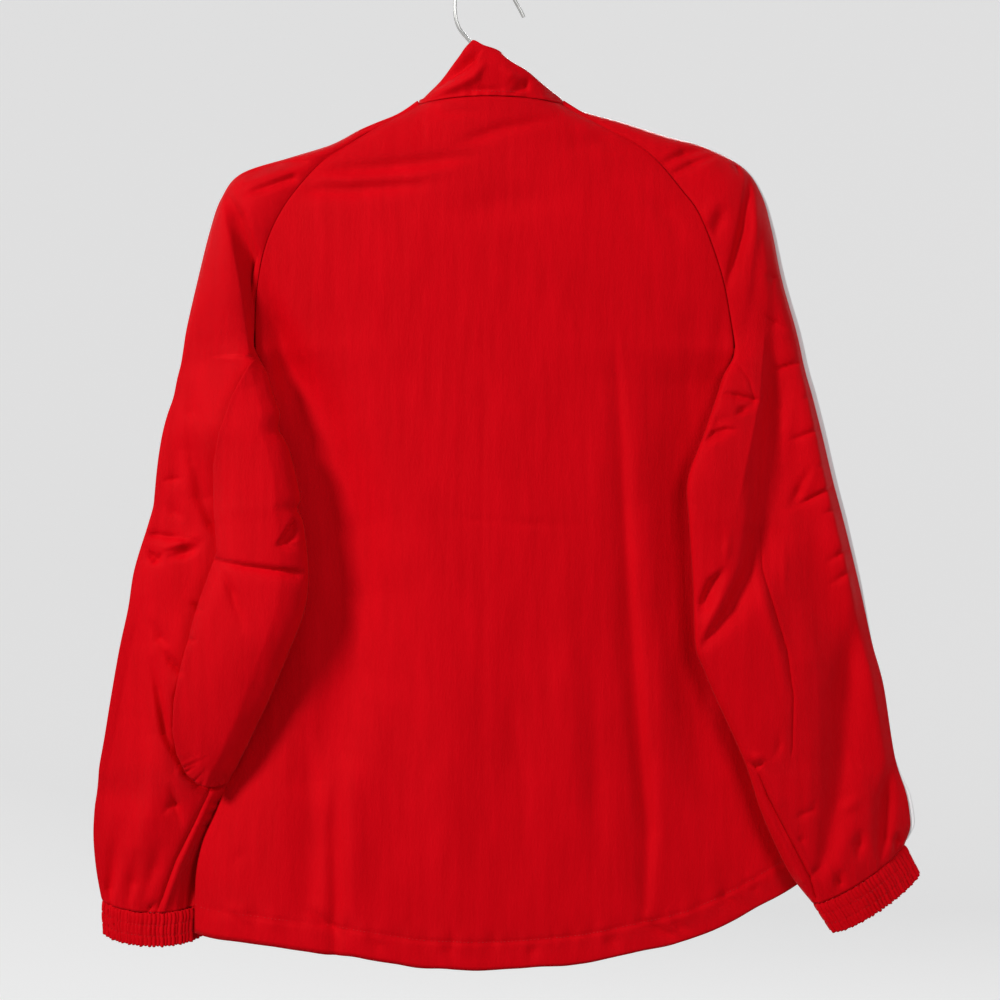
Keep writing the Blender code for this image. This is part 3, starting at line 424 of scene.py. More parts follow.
def body(at, u, face):
    """The body's surface: at runs from the neck (0) over the underarm (1) to the hem (2).

    The share u runs across, from the left side (0) to the right (1).
    """
    at, u = np.asarray(at, float), np.asarray(u, float)
    upper, lower = np.minimum(at, 1), np.maximum(at - 1, 0)
    s = section(SIDES, SIDE, lower * (len(SIDES) - 1))
    fade = 1 - ease(lower * 7)
    edges = []
    for side, name, column in ((-1, "left", 0), (1, "right", 3)):
        seam = list(raglan_edge(side, upper * UNDERARM, face))
        if face > 0:        # the fronts come to the side seam's depth before the underarm
            seam[2] = mix(seam[2], SIDES[0][column + 2], ease(upper * UNDERARM / 2 - 4))
        edges.append([s[f"{name}_{part}"] + fade * (seam[k] - SIDES[0][column + k])
                      for k, part in enumerate(("x", "drop", "y"))])
    x, drop, y = (mix(a, b, u) for a, b in zip(*edges))
    back, front, power = depths(drop)
    arch = np.clip(4 * u * (1 - u), 0, 1)
    drop = drop + hem_line(u)[0] * ease(lower * 1.4 - 0.4)
    if face > 0:
        neck_dip = (NECK_LOW - FRONT_LEVEL) * (1 - upper) ** 1.5
        drop = drop - FRONT_SHORTER * ease(lower) + neck_dip * arch
    y = mix(y, back if face < 0 else front, arch ** power)
    seam_share = ease(1 - at * UNDERARM / 3)
    reach = BACK_NECK_ANGLE if face < 0 else FRONT_NECK_ANGLE
    angle = mix(-reach, reach if face < 0 else reach - 360, u)
    x, drop, y = (mix(a, b, seam_share) for a, b in zip((x, drop, y), neck(angle)))
    return x, drop, y + face * EDGE_SHIFT


def collar(around, up):
    """The collar, round from the zip over the left side and the back to the zip again."""
    s = section(COLLAR_ROWS, COLLAR, around * (len(COLLAR_ROWS) - 1))
    foot = neck(s["angle"])
    rings = ((foot[0], foot[1] - FOOT_GAP, foot[2]), (s["knee_x"], s["knee_drop"], s["knee_y"]),
             (s["top_x"], s["top_drop"], s["top_y"]))
    shares = [curve_at(row, np.asarray(up) * 2.0) for row in np.eye(3)]
    return tuple(sum(share * ring[k] for share, ring in zip(shares, rings)) for k in range(3))


print("hem at its lowest", round(float(body(2, 0.57, -1)[1]), 1), "mm below the top of the hook")

# %% [markdown]
# ## Creases
#
# Nylon keeps every bend that it gets. Each crease here is given as a line of points with
# a width and a depth at each, so that it can swell, turn and fade out as a real one does. A
# negative depth is a ridge. The two numbers in front say to which side the crease leans and
# whether its bottom is round (2) or sharp (1).

# %% How a crease presses the cloth
STRENGTH = 1.7      # all the creases' depths are multiplied by this, to match the cloth


def pressed(x, drop, creases):
    """How deep a list of creases presses each point in, in mm."""
    total = np.zeros_like(x)
    for lean, kind, *nodes in creases:
        nearest = np.full_like(x, 1e9)
        push = np.zeros_like(x)
        for (x1, d1, w1, p1), (x2, d2, w2, p2) in zip(nodes, nodes[1:]):
            run_x, run_d = x2 - x1, d2 - d1
            length = math.hypot(run_x, run_d)
            along = np.clip(((x - x1) * run_x + (drop - d1) * run_d) / length**2, 0, 1)
            away_x, away_d = x - x1 - along * run_x, drop - d1 - along * run_d
            off = np.hypot(away_x, away_d)
            to_right = np.clip((away_x * run_d - away_d * run_x) / length, -1, 1)
            width = mix(w1, w2, along) * (1 + lean * to_right)
            value = mix(p1, p2, along) * np.exp(-((off / width) ** kind))
            push = np.where(off < nearest, value, push)
            nearest = np.minimum(off, nearest)
        total += STRENGTH * push
    return total


def uneven(values, pitch, second, seed, strength=1.0):
    """Smooth noise along a run of values in mm; pitch is the size of its waves."""
    return strength * np.array([noise.noise(Vector((value / pitch, second, seed)))
                                for value in values])


def crumpled(x, drop, seed, fine=0.16, broad=0.9):
    """Small unevenness of the cloth: narrow upright crinkles on slow soft waves, in mm."""
    # each wave: how strong, how wide and how long in mm, and its place in the noise
    waves = ((broad, 42, 120, 0), (fine, 5.5, 55, 7), (0.35, 13, 38, 3))
    return np.array([sum(strength * noise.noise(Vector((a / wide, b / long, seed + shift)))
                         for strength, wide, long, shift in waves) for a, b in zip(x, drop)])


straight = (0, 2, (0, -5, 3, 1), (0, 5, 3, 1))
print("a straight crease of depth 1 presses", pressed(np.zeros(1), np.zeros(1), [straight]), "mm")

# %% Creases of the sleeves, seen from behind
LEFT_CREASES = (
    # the deep fold under the shoulder, from the overarm down to the underarm
    (-0.3, 2, (-208, 182, 2.4, 0), (-198, 203, 6, 3.5), (-190, 231, 7, 5),
     (-185, 250, 7, 5), (-183, 275, 7, 4), (-183, 295, 6, 2), (-185, 312, 3, 0)),
    (-0.55, 1.7, (-214, 186, 5, 0), (-208, 212, 9, -2), (-202, 238, 12, -4), (-197, 264, 14, -5.4),
     (-193.5, 290, 14, -5.8), (-191, 312, 12, -4.6), (-186, 338, 9, 0)),
    (-0.3, 2, (-204, 172, 4, 0), (-186, 166, 4.5, 2.2), (-166, 160, 4.5, 2.6), (-150, 158, 4, 2)),
    (0, 2, (-196, 186, 3, 0), (-178, 180, 3.6, 2), (-156, 172, 3.6, 2)),
    # bends of the inner bulge
    (0.5, 1, (-176, 375, 1.6, 0), (-163, 375, 2.4, 1.8)),
    (-0.45, 1.3, (-213, 474, 2, 1.2), (-193, 478, 2.8, 2.6), (-162, 482, 3.6, 3.6),
     (-141, 484, 3.6, 3.4)),
    (0, 2, (-212, 476, 2.4, 0), (-202, 499, 3.2, 2.2), (-192, 532, 3.2, 0)),
    (0.9, 2, (-148, 432, 3, 1), (-156, 446, 5.2, 4), (-163, 458, 4.4, 3.6), (-168, 464, 2.4, 0)),
    (0, 1, (-166, 463, 1.4, -0.6), (-155, 460, 1.6, -1), (-144, 456, 1.6, -0.8)),
    (-0.3, 2, (-176, 537, 9, 0), (-186, 577, 10, 1.2), (-197, 616, 8, 0)),
    # the arm falls away beside the bulge, and folds under its lower lip
    (-0.5, 2, (-222, 366, 12, 0), (-222, 404, 20, 3), (-221, 446, 24, 4.6), (-220, 474, 22, 4.6),
     (-236, 516, 17, 4), (-252, 564, 13, 3), (-258, 610, 9, 2.2), (-250, 640, 5, 1)),
    (0, 1, (-214, 372, 3, 0), (-219, 404, 4, 1.4), (-219, 446, 4, 1.6), (-217, 474, 4, 1.4),
     (-234, 516, 4, 1.4), (-248, 564, 3, 1)),
    (0, 2, (-233, 520, 1.6, 0), (-241, 548, 2, 2), (-250, 585, 2.2, 3.4), (-251.5, 608, 2.2, 3.6),
     (-248.5, 627, 2, 3.4), (-241, 644, 1.8, 3), (-231, 653.5, 1.8, 2.6), (-219, 656.5, 1.8, 2.4),
     (-207, 655, 1.6, 1.6)),
    (0.3, 2, (-240, 362, 6, 0), (-235, 396, 8, 2.2), (-224, 424, 8, 2.4), (-215, 442, 6, 0)),
    # small creases of the outer arm
    (0, 1, (-280, 451, 2.4, 0), (-270, 454, 2.6, 2.6), (-243, 457, 2.8, 2), (-224, 461, 2.4, 0)),
    (0.3, 2, (-261, 466, 2.4, 0), (-246, 461, 4, -2.6), (-229, 457, 4, 0)),
    (0, 2, (-258, 473, 2.4, 0), (-242, 469, 4, 2.6), (-228, 462, 2.4, 0)),
    (0, 1, (-276, 461, 1.6, 0), (-268, 471, 2.6, 3), (-264, 477, 1.6, 0)),
    (0, 1, (-258, 466, 1.6, 0), (-264, 474, 2.6, 2.8), (-269, 479, 1.6, 0)),
    (0, 2, (-236, 400, 4, 0), (-231, 424, 5, 2.2), (-220, 446, 4.5, 2.4), (-216, 456, 3, 0)),
    (0, 1, (-262, 412, 2, 0), (-252, 410, 2.6, 1.8), (-243, 409, 2, 0)),
    (0, 2, (-276, 427, 4.0, 0), (-275, 446, 4.7, -2), (-280, 462, 4.0, 0)),
    (0, 2, (-238, 507, 1.8, 0), (-231, 512, 2.8, 2.4), (-224, 515, 1.8, 0)),
    (0, 1, (-262, 541, 2.4, 0), (-252, 555, 3, 3), (-246, 561, 3, 3.2), (-238, 563, 1.8, 0)),
    (0, 2, (-270, 520, 3, 0), (-262, 536, 4, 2.2), (-254, 544, 3, 0)),
    (0.3, 2, (-269, 549, 4.0, 0), (-264, 577, 4.4, 3), (-257, 612, 4.4, 3.6),
     (-246, 636, 3.4, 2.4), (-237, 649, 1.8, 0)),
    (0, 2, (-240, 332, 4.7, 0), (-235, 356, 6.3, 1.6), (-224, 379, 4.7, 0)),
    (0, 2, (-257, 427, 4.7, 0), (-251, 436, 4.0, 1.2), (-243, 443, 3.2, 0)),
    (0, 2, (-239, 532, 3.2, 0), (-234, 537, 2.4, 1.4), (-229, 538, 1.6, 0)),
    (0.3, 2, (-251, 348, 7.1, 0), (-246, 387, 9.5, 1.6), (-248, 419, 7.9, 0)),
    # long soft folds of the forearm
    (-0.4, 2, (-274, 500, 12, 0), (-276, 540, 20, 2.4), (-278, 600, 20, 3.4), (-280, 664, 16, 2),
     (-284, 703, 9, 0)),
    (0, 2, (-269, 632, 11.1, 0), (-272, 679, 11.1, -2), (-275, 727, 9.5, 0)),
    (0, 2, (-254, 650, 2.4, 0), (-249, 668, 3.4, 2.6), (-244, 686, 2.4, 0)),
    (0, 1, (-260, 676, 1.8, 0), (-253, 669, 2.6, 2), (-245, 666, 1.8, 0)),
    (0, 2, (-261, 695, 6.3, 0), (-267, 719, 5.5, 1.8), (-276, 747, 3.2, 0)),
    (0, 2, (-294, 679, 6.3, 0), (-299, 711, 6.3, 2), (-303, 737, 4.0, 2.5), (-302, 747, 2.4, 0)),
    (0, 2, (-281, 703, 5.5, 0), (-284, 731, 4.7, 2), (-288, 749, 2.4, 0)),
    (0, 1, (-276, 758, 1.6, 0), (-270, 751, 2.4, 2.4), (-263, 745, 1.6, 0)),
    # the underarm seam and the strip behind it
    (0, 1, (-222, 656, 1.2, 1), (-234, 681, 1.5, 1.6), (-250, 713, 1.5, 1.7),
     (-264, 752, 1.5, 1.4)),
    (0, 2, (-219, 659, 2.4, -0.6), (-231, 684, 2.8, -1.2), (-246, 717, 2.8, -1.2),
     (-260, 754, 2.4, -0.8)),
    (-0.3, 2, (-210, 664, 6, 2.4), (-219, 692, 9, 4.6), (-231, 722, 9, 5), (-240, 750, 8, 3)),
    (0, 2, (-224, 667, 1.8, 0), (-215, 668, 2.4, 2), (-205, 666, 1.8, 0)),
    (0, 2, (-227, 676, 1.8, 0), (-219, 676, 2.4, 2), (-209, 673, 1.8, 0)),
    (0, 2, (-231, 686, 1.8, 0), (-224, 686, 2.4, 1.8), (-214, 683, 1.8, 0)),
)
RIGHT_CREASES = (
    # folds round the end of the hanger
    (0.2, 2, (205, 167, 1.6, 0), (203, 188, 3.6, 2), (199, 214, 4.4, 2.8), (192, 242, 4.4, 2.6),
     (184, 269, 3.0, 0)),
    (-0.2, 2, (211, 167, 4.0, 0), (209, 213, 5, -2), (203, 259, 6, -1.4), (196, 298, 4.7, 0)),
    (0.45, 2, (219, 190, 4, 0), (222, 232, 9, 1.2), (226, 270, 13, 2.6), (227, 300, 16, 4.6),
     (224.5, 345, 17, 5), (221, 374, 17, 5.4), (218, 406, 17, 5.8), (213, 445, 15, 6),
     (204, 480, 11, 5.2), (188, 512, 7, 4), (168, 539, 3.6, 1.4)),
    (0, 1, (217, 296, 2.6, -0.4), (213, 345, 2.6, -1), (207, 374, 2.6, -1), (200, 406, 2.4, -0.8),
     (192, 445, 2, 0)),
    (0, 2, (187, 192, 4.7, 0), (182, 205, 5.5, 1.8), (176, 224, 3.2, 0)),
    (0, 2, (133, 163, 3.6, 0), (153, 153, 4.4, 3), (178, 147, 3.2, 0)),
    (0, 2, (140, 172, 3.2, 0), (160, 161, 4.0, 2.8), (183, 152, 2.4, 0)),
    (0, 2, (158, 224, 4.7, 0), (170, 207, 6.3, -2.2), (179, 186, 4.7, 0)),
    (0, 1, (194, 156, 1.6, 0), (196, 163, 2.4, 2), (198, 171, 1.6, 0)),
    (0, 2, (207, 186, 6, 0), (218, 216, 11, -4), (226, 250, 14, -5.6), (236, 300, 15, -6.4),
     (249, 345, 15, -6.6), (261, 392, 15, -6.6), (274, 440, 15, -6.4), (286, 492, 15, -5.8),
     (297, 541, 14, -4.6), (307, 590, 12, -3), (314, 635, 10, -1.6), (321, 668, 8, 0)),
    # the seams that show on this arm
    (0, 1, (190, 314, 0.9, 0.3), (198, 322, 1.1, 0.8), (205, 333, 1.2, 0.9), (209, 348, 1.1, 0.7)),
    (0, 1, (213, 450, 0.9, 0.3), (215, 482, 1.2, 1.1), (224, 514, 1.3, 1.2), (234, 546, 1.3, 1.2),
     (239, 581, 1.3, 1.1), (238, 622, 1.2, 0.8), (236, 634, 0.9, 0)),
    (0, 2, (209, 455, 3, 0), (211, 486, 4, -0.9), (219, 518, 4, -1), (228, 550, 4, -0.8),
     (233, 585, 3, 0)),
    (0, 1, (208, 634, 1.2, 1), (219, 660, 1.5, 2.2), (236, 693, 1.6, 2.4), (252, 724, 1.6, 2.2),
     (257, 741, 1.4, 1.6)),
    (0, 2, (203, 640, 2.4, -0.6), (213, 664, 3, -1.6), (230, 697, 3, -1.6), (246, 727, 2.6, -1)),
    # creases of the inner bulge
    (-0.4, 1, (181, 342, 1.6, 0), (194, 344, 3.2, 2.4), (208, 347, 3.2, 2.6), (215, 348, 1.6, 0)),
    (0, 2, (192, 361, 1.6, 0), (199, 356, 3.2, 2), (211, 350, 2.4, 0)),
    (-0.4, 2, (167, 382, 2.4, 2), (176, 374, 4.0, 2.6), (186, 371, 3.2, 2), (195, 371, 1.6, 0)),
    (0, 2, (169, 373, 5.5, 0), (179, 366, 6.3, 1.6), (192, 360, 4.0, 0)),
    (0, 1, (155, 425, 1.6, 1), (158, 429, 1.6, 1.4), (162, 433, 1.6, 0)),
    (0, 1, (188, 446, 1.6, 0), (186, 465, 2.4, -1.4), (184, 480, 1.6, 0)),
    (0.3, 2, (185, 479, 1.6, 0), (175, 491, 4.7, 3.5), (166, 509, 5.5, 4), (163, 523, 3.2, 0)),
    (0, 1, (187, 486, 2.4, 0), (180, 506, 3.2, -2), (169, 528, 2.4, -1.4), (161, 541, 1.6, 0)),
    # the outer arm
    (0, 1, (216, 249, 1.6, 0), (224, 251, 2.4, 1.6), (231, 251, 1.6, 0)),
    (0, 1, (216, 280, 1.6, 0), (226, 286, 2.4, 1.6), (236, 292, 1.6, 0)),
    (0, 1, (221, 324, 1.2, 0), (234, 321, 2, 2.6), (250, 316, 2, 1)),
    (0, 1, (236, 380, 1.2, 0), (250, 375, 2, 2.2), (263, 369, 2, 1.8)),
    (-0.3, 1, (240, 433, 1.2, 0), (252, 426, 2, 2.4), (264, 420, 2, 2.6), (274, 415, 2, 2)),
    (0, 2, (254, 400, 2.4, 0), (245, 420, 4, 2.4), (236, 436, 3.2, 0)),
    (0, 2, (258, 400, 2.4, 0), (250, 416, 4, -1), (243, 430, 3, 0)),
    (0, 1, (266, 477, 1.2, 0), (277, 469, 2, 2.4), (288, 464, 2, 1.8)),
    (0, 1, (268, 495, 1.2, 0), (280, 486, 2, 2.2), (292, 479, 1.6, 0)),
    (0, 1, (258, 402, 1, 0), (266, 398, 1.8, 1.8), (273, 396, 1.6, 1)),
    (0, 1, (262, 438, 1, 0), (271, 435, 1.8, 1.8), (280, 434, 1.6, 1)),
    (0, 1, (247, 347, 1.6, 0), (253, 344, 2.2, 2), (260, 342, 1.8, 1)),
    (0, 2, (239, 340, 6.3, 0), (236, 371, 7.1, -1.8), (234, 403, 5.5, 0)),
    (0, 1, (232, 452, 0.8, 0), (232, 480, 1.6, -1.1), (232, 510, 0.8, 0)),
    # long soft folds of the forearm
    (0.1, 2, (297, 502, 8, 0), (289, 537, 11, 2.6), (279, 585, 14, 4.6), (277, 624, 14, 5),
     (273, 664, 12, 4.4), (265, 703, 8, 2.8), (257, 727, 3, 0)),
    (0, 2, (250, 506, 11.1, 0), (250, 553, 12.6, -1.8), (245, 608, 11.1, 0)),
    (0, 2, (318, 632, 4.0, 0), (314, 664, 6.3, 3.2), (311, 695, 5.5, 3.6), (308, 713, 2.4, 0)),
    (0, 2, (294, 686, 4.0, 0), (291, 699, 4.7, 2.4), (290, 713, 2.4, 0)),
    (0, 2, (278, 717, 3.2, 0), (275, 728, 4.0, 2), (273, 737, 1.6, 0)),
    (0, 2, (324, 689, 2.4, 0), (323, 697, 3.2, 2), (321, 705, 1.6, 0)),
    (0, 1, (239, 679, 1.6, 0), (246, 674, 2.4, 1.4), (254, 671, 2.4, 1.2), (257, 661, 1.6, 0)),
    (0, 1, (240, 695, 1.6, 0), (245, 694, 2.4, 1.2), (250, 692, 1.6, 0)),
    (0, 1, (251, 726, 1.6, 0), (255, 720, 2.4, 1.8), (261, 713, 1.6, 0)),
    (0, 2, (275, 673, 4.7, 0), (284, 668, 4.7, -1.2), (294, 660, 4.0, 0)),
    (0, 2, (226, 607, 2.4, 0), (228, 619, 2.4, 1), (223, 632, 2.4, 0)),
    # the pucker at the end of the bulge
    (0, 1, (200, 629, 1.2, 0), (204, 634, 1.6, 2.4), (209, 637, 1.6, 2.8), (214, 635, 1.6, 1.6),
     (217, 630, 1.2, 0)),
    (0, 2, (205, 625, 2.4, 0), (210, 629, 2.8, -1), (215, 626, 2.4, 0)),
    (0.4, 2, (215, 640, 2.4, 0), (225, 664, 5.5, -1.5), (237, 695, 5.5, -1.5),
     (250, 725, 3.2, 0)),
)

# %% Creases of the back and the collar
BACK_CREASES = (
    # long folds that hang from the shoulder blades
    (-0.3, 2, (98, 284, 3.2, 0), (103, 363, 6.3, 1.8), (107, 438, 6.3, 2.6), (112, 529, 7.1, 3),
     (119, 616, 7.1, 3.2), (126, 687, 7.1, 3.2), (123, 747, 4.7, 1.5), (118, 762, 2.4, 0)),
    (0.2, 2, (115, 316, 9.5, 0), (123, 442, 11.1, -1.6), (136, 585, 12.6, -2),
     (141, 703, 9.5, 0)),
    (0, 2, (-120, 640, 4.7, 0), (-123, 687, 5.5, 2.4), (-121, 743, 5.5, 3), (-122, 782, 4.0, 2)),
    (0.3, 2, (-109, 616, 7.9, 0), (-109, 703, 7.9, -1.8), (-106, 766, 6.3, 0)),
    (0, 2, (-70, 474, 14.2, 0), (-73, 600, 17.4, 1.6), (-77, 735, 12.6, 0)),
    (0, 2, (-30, 537, 15.8, 0), (-32, 648, 17.4, -1.3), (-35, 758, 12.6, 0)),
    (0, 2, (17, 506, 12.6, 0), (21, 632, 15.8, 1.5), (26, 750, 11.1, 0)),
    (0, 2, (60, 442, 12.6, 0), (64, 585, 14.2, -1.4), (68, 727, 11.1, 0)),
    (0, 2, (76, 537, 9.5, 0), (84, 648, 9.5, 1.6), (87, 743, 6.3, 0)),
    (0, 2, (158, 537, 12.6, 0), (166, 632, 14.2, 1.6), (179, 711, 9.5, 0)),
    (0, 2, (-164, 269, 7.9, 0), (-157, 324, 11.1, 1.5), (-150, 379, 7.9, 0)),
    (-0.2, 2, (164, 269, 12, 0), (158, 348, 22, 3), (154, 430, 26, 4.6), (155, 510, 24, 4.4),
     (166, 590, 20, 2.6), (180, 650, 14, 0)),
    # the upper back, pulled by the hanger
    (0, 2, (-137, 167, 4.0, 0), (-111, 166, 5.5, 2), (-79, 164, 6.3, 2.4), (-40, 159, 5.5, 1.8),
     (-3, 154, 4.0, 0)),
    (0, 2, (-156, 180, 3.2, 0), (-134, 182, 4.7, 1.6), (-109, 182, 5.5, 1.8),
     (-71, 179, 4.7, 1.4), (-46, 178, 3.2, 0)),
    (0, 2, (-150, 172, 4.0, 0), (-109, 174, 4.7, -1.2), (-55, 170, 4.7, -1), (-16, 164, 3.2, 0)),
    (0, 2, (-33, 148, 3.2, 0), (-8, 140, 4.0, 1.4), (9, 134, 4.0, 1.6), (34, 129, 4.0, 1.3),
     (60, 124, 2.4, 0)),
    (0, 2, (-52, 120, 2.4, 0), (-30, 121, 3.2, 1.2), (-1, 121, 2.4, 0)),
    (0, 2, (55, 150, 6.3, 0), (87, 142, 7.1, 1.6), (115, 152, 5.5, 0)),
    (0, 2, (-55, 201, 11.1, 0), (8, 194, 12.6, 1.3), (71, 186, 11.1, 0)),
    (0, 2, (118, 178, 6.3, 0), (139, 198, 7.9, 1.4), (156, 229, 6.3, 0)),
    # beside the underarms, where the arms hang over the body
    (0.1, 2, (-184, 246, 6, 0), (-176, 285, 12, 6), (-162, 322, 18, 9), (-138, 370, 26, 8),
     (-126, 410, 29, 8), (-114, 450, 31, 8.4), (-109, 500, 31, 8.4), (-113, 560, 30, 6.6),
     (-126, 620, 26, 3.6), (-146, 664, 16, 0)),
    (-0.2, 2, (-150, 600, 10, 0), (-142, 650, 14, 3), (-140, 700, 14, 3.4), (-141, 740, 12, 2.6),
     (-143, 772, 8, 0)),
    (-0.3, 2, (186, 262, 3, 0), (186, 292, 6, 2), (184, 318, 7, 2), (176, 350, 7, 0)),
    (0, 1, (-212, 676, 0.9, 0.3), (-218, 698, 1.1, 0.7), (-222, 718, 1.1, 0.5), (-220, 724, 1, 0)),
    # lines left by folding
    (0, 1, (-46, 439, 1.2, 0), (-16, 442, 1.6, 0.45), (40, 446, 1.6, 0.5), (88, 447, 1.2, 0)),
    (0, 1, (-6, 221, 1.2, 0), (-6, 363, 1.6, 0.4), (-5, 521, 1.6, 0.45), (-3, 727, 1.2, 0)),
    # creases at the hem
    (0, 2, (-145, 747, 2.4, 0), (-133, 757, 4.0, 1.6), (-120, 766, 3.2, 1.2),
     (-114, 774, 1.6, 0)),
    (0, 2, (-212, 749, 1.6, 0), (-199, 758, 2.4, 1.1), (-185, 771, 1.6, 0)),
    (0, 2, (114, 755, 2.4, 0), (128, 763, 4.0, 1.8), (141, 769, 3.2, 1.6), (153, 775, 1.6, 0)),
    (0, 2, (141, 754, 2.4, 0), (150, 763, 3.2, 1.4), (161, 769, 1.6, 0)),
    (0, 2, (87, 763, 2.4, 0), (96, 774, 4.0, 1.5), (103, 784, 2.4, 0)),
    (0, 2, (179, 737, 2.4, 0), (190, 744, 3.2, 1.6), (199, 752, 1.6, 0)),
    (0, 2, (201, 727, 3.2, 0), (210, 735, 3.2, 1.2), (216, 741, 1.6, 0)),
    (0, 1, (-207, 718, 2.4, 0), (-199, 709, 3.2, 0.9), (-190, 703, 2.4, 0)),
    (0, 2, (-98, 766, 3.2, 0), (-88, 777, 3.2, 1.2), (-84, 787, 1.6, 0)),
    (0, 2, (-40, 771, 3.2, 0), (-32, 781, 3.2, 1.2), (-27, 792, 1.6, 0)),
    (0, 2, (40, 771, 3.2, 0), (34, 782, 3.2, 1.2), (32, 792, 1.6, 0)),
)
COLLAR_CREASES = (
    # creases of the sunken collar, seen from behind
    (0, 2, (-47, 108, 2.4, 0), (-30, 101, 4.0, -2.4), (-13, 93, 4.0, -2.8), (-3, 81, 2.4, 0)),
    (0.7, 2, (-47, 104, 2.4, 0), (-36, 97, 4.2, 2.6), (-22, 89, 4.6, 3.4), (-12, 81, 4.2, 3),
     (-6, 70, 3, 0)),
    (0, 2, (32, 93, 2.4, 0), (27, 100, 4.0, 2.4), (20, 105, 3.2, 1.5), (14, 108, 1.6, 0)),
    (0, 2, (8, 84, 3.2, 0), (17, 92, 4.7, -1.6), (24, 98, 4.0, 0)),
    (0, 2, (-28, 107, 2.4, 0), (-8, 104, 3.2, 1.4), (12, 103, 2.4, 0)),
    (0, 2, (43, 98, 3.2, 0), (49, 104, 4.0, 1.8), (52, 110, 2.4, 0)),
)

# %% [markdown]
# The sides that the photograph hides are creased in the same way: the fronts hang in long soft
# folds from the shoulders and the zip, and the front of each sleeve wrinkles at the elbow.

# %% Creases of the hidden sides
FRONT_CREASES = (
    (0, 2, (-88, 250, 4, 0), (-96, 380, 9, 2.4), (-110, 560, 10, 3), (-120, 740, 8, 2)),
    (-0.3, 2, (-70, 280, 8, 0), (-74, 440, 10, -1.8), (-84, 620, 12, -2), (-88, 760, 8, 0)),
    (0.3, 2, (-40, 420, 8, 0), (-44, 560, 10, 1.8), (-42, 760, 9, 2)),
    (0, 2, (94, 260, 4, 0), (100, 400, 9, 2.6), (114, 580, 10, 3), (128, 744, 8, 2)),
    (0.3, 2, (66, 300, 8, 0), (72, 480, 10, -1.8), (82, 640, 12, -1.6), (86, 750, 8, 0)),
    (0, 2, (34, 480, 8, 0), (40, 620, 10, 1.6), (38, 770, 9, 2)),
    (0, 2, (-150, 420, 10, 0), (-156, 540, 14, 2.2), (-150, 660, 10, 0)),
    (0, 2, (158, 420, 10, 0), (160, 540, 14, 2), (160, 660, 10, 0)),
    (0, 2, (-130, 190, 5, 0), (-80, 200, 7, 2), (-30, 208, 4, 0)),
    (0, 2, (-126, 176, 5, 0), (-86, 184, 6, -1.3), (-48, 186, 4, 0)),
    (0, 2, (30, 208, 4, 0), (80, 198, 7, 2), (128, 186, 5, 0)),
    (0, 2, (44, 226, 4, 0), (84, 220, 6, 1.4), (120, 208, 5, 0)),
    (0, 1, (-150, 470, 2, 0), (-90, 474, 2, 0.5), (-14, 470, 2, 0)),
    (0, 1, (16, 470, 2, 0), (90, 475, 2, 0.5), (156, 472, 2, 0)),
    (0, 2, (-30, 772, 4, 0), (-36, 790, 5, 1.6), (-34, 804, 3, 0)),
    (0, 2, (-96, 752, 4, 0), (-88, 768, 5, 1.6), (-86, 784, 3, 0)),
    (0, 2, (58, 770, 4, 0), (66, 786, 5, 1.6), (66, 800, 3, 0)),
    (0, 2, (150, 734, 4, 0), (144, 748, 5, 1.4), (146, 760, 3, 0)),
)
SLEEVE_FRONT_CREASES = (
    (0, 2, (20, 60, 10, 0), (34, 120, 12, 3), (40, 190, 8, 0)),
    (0, 2, (70, 20, 8, 0), (66, 90, 9, 2.4), (58, 160, 6, 0)),
    (0, 1, (8, 250, 3, 0), (50, 262, 5, 2.6), (104, 256, 3, 0)),
    (0, 2, (14, 276, 4, 0), (58, 284, 7, -2), (110, 274, 4, 0)),
    (0, 1, (24, 300, 3, 0), (64, 314, 5, 2.6), (118, 308, 3, 0)),
    (0, 2, (60, 340, 6, 0), (76, 380, 8, 2.2), (80, 430, 6, 0)),
    (0, 2, (30, 400, 8, 0), (40, 470, 10, -2), (46, 540, 8, 0)),
    (0, 2, (84, 440, 8, 0), (88, 520, 11, 2.6), (84, 600, 6, 0)),
    (0, 2, (52, 520, 6, 0), (58, 570, 7, 2), (60, 612, 4, 0)),
    (0, 2, (30, 560, 5, 0), (32, 590, 6, 1.8), (34, 614, 3, 0)),
    (0, 2, (104, 560, 5, 0), (100, 590, 6, 1.8), (98, 612, 3, 0)),
)
print("creases placed by hand:", len(LEFT_CREASES) + len(RIGHT_CREASES) + len(BACK_CREASES)
      + len(COLLAR_CREASES) + len(FRONT_CREASES) + 2 * len(SLEEVE_FRONT_CREASES))

# %% [markdown]
# On the left arm the elbow's spare cloth falls forward as a bag over the part beside it, with a
# lip that overhangs. A crease can't do that, because it only goes in and out. So the points near
# the bag's outline also slide sideways, the raised ones outwards and the low ones inwards.

# %% The overhanging bag of the left elbow
LEFT_BAG = (
    (-176, 300, 2), (-184, 312, 5), (-201, 345, 9), (-211, 374, 12), (-216, 400, 12),
    (-216, 431, 12), (-213, 467, 12), (-229, 511, 12), (-235, 534, 12), (-243, 564, 12),
    (-247, 585, 12), (-248, 608, 12), (-245, 626, 12), (-238, 641, 12), (-230, 649, 12),
    (-220, 652, 12), (-207, 651, 12), (-195, 641, 12), (-180, 632, 12),
)
LIP, OVERHANG = 2.2, 5.0
OVERHANG_REACH = 6.0    # from the outline, where points slide sideways
GATHER_PITCH = 5.2      # between the small gathers along the bag's bottom
GATHER_DEPTH = 2.4
GATHERS_FROM, GATHERS_OVER = 624, 18    # the drop where they begin, and how fast they grow


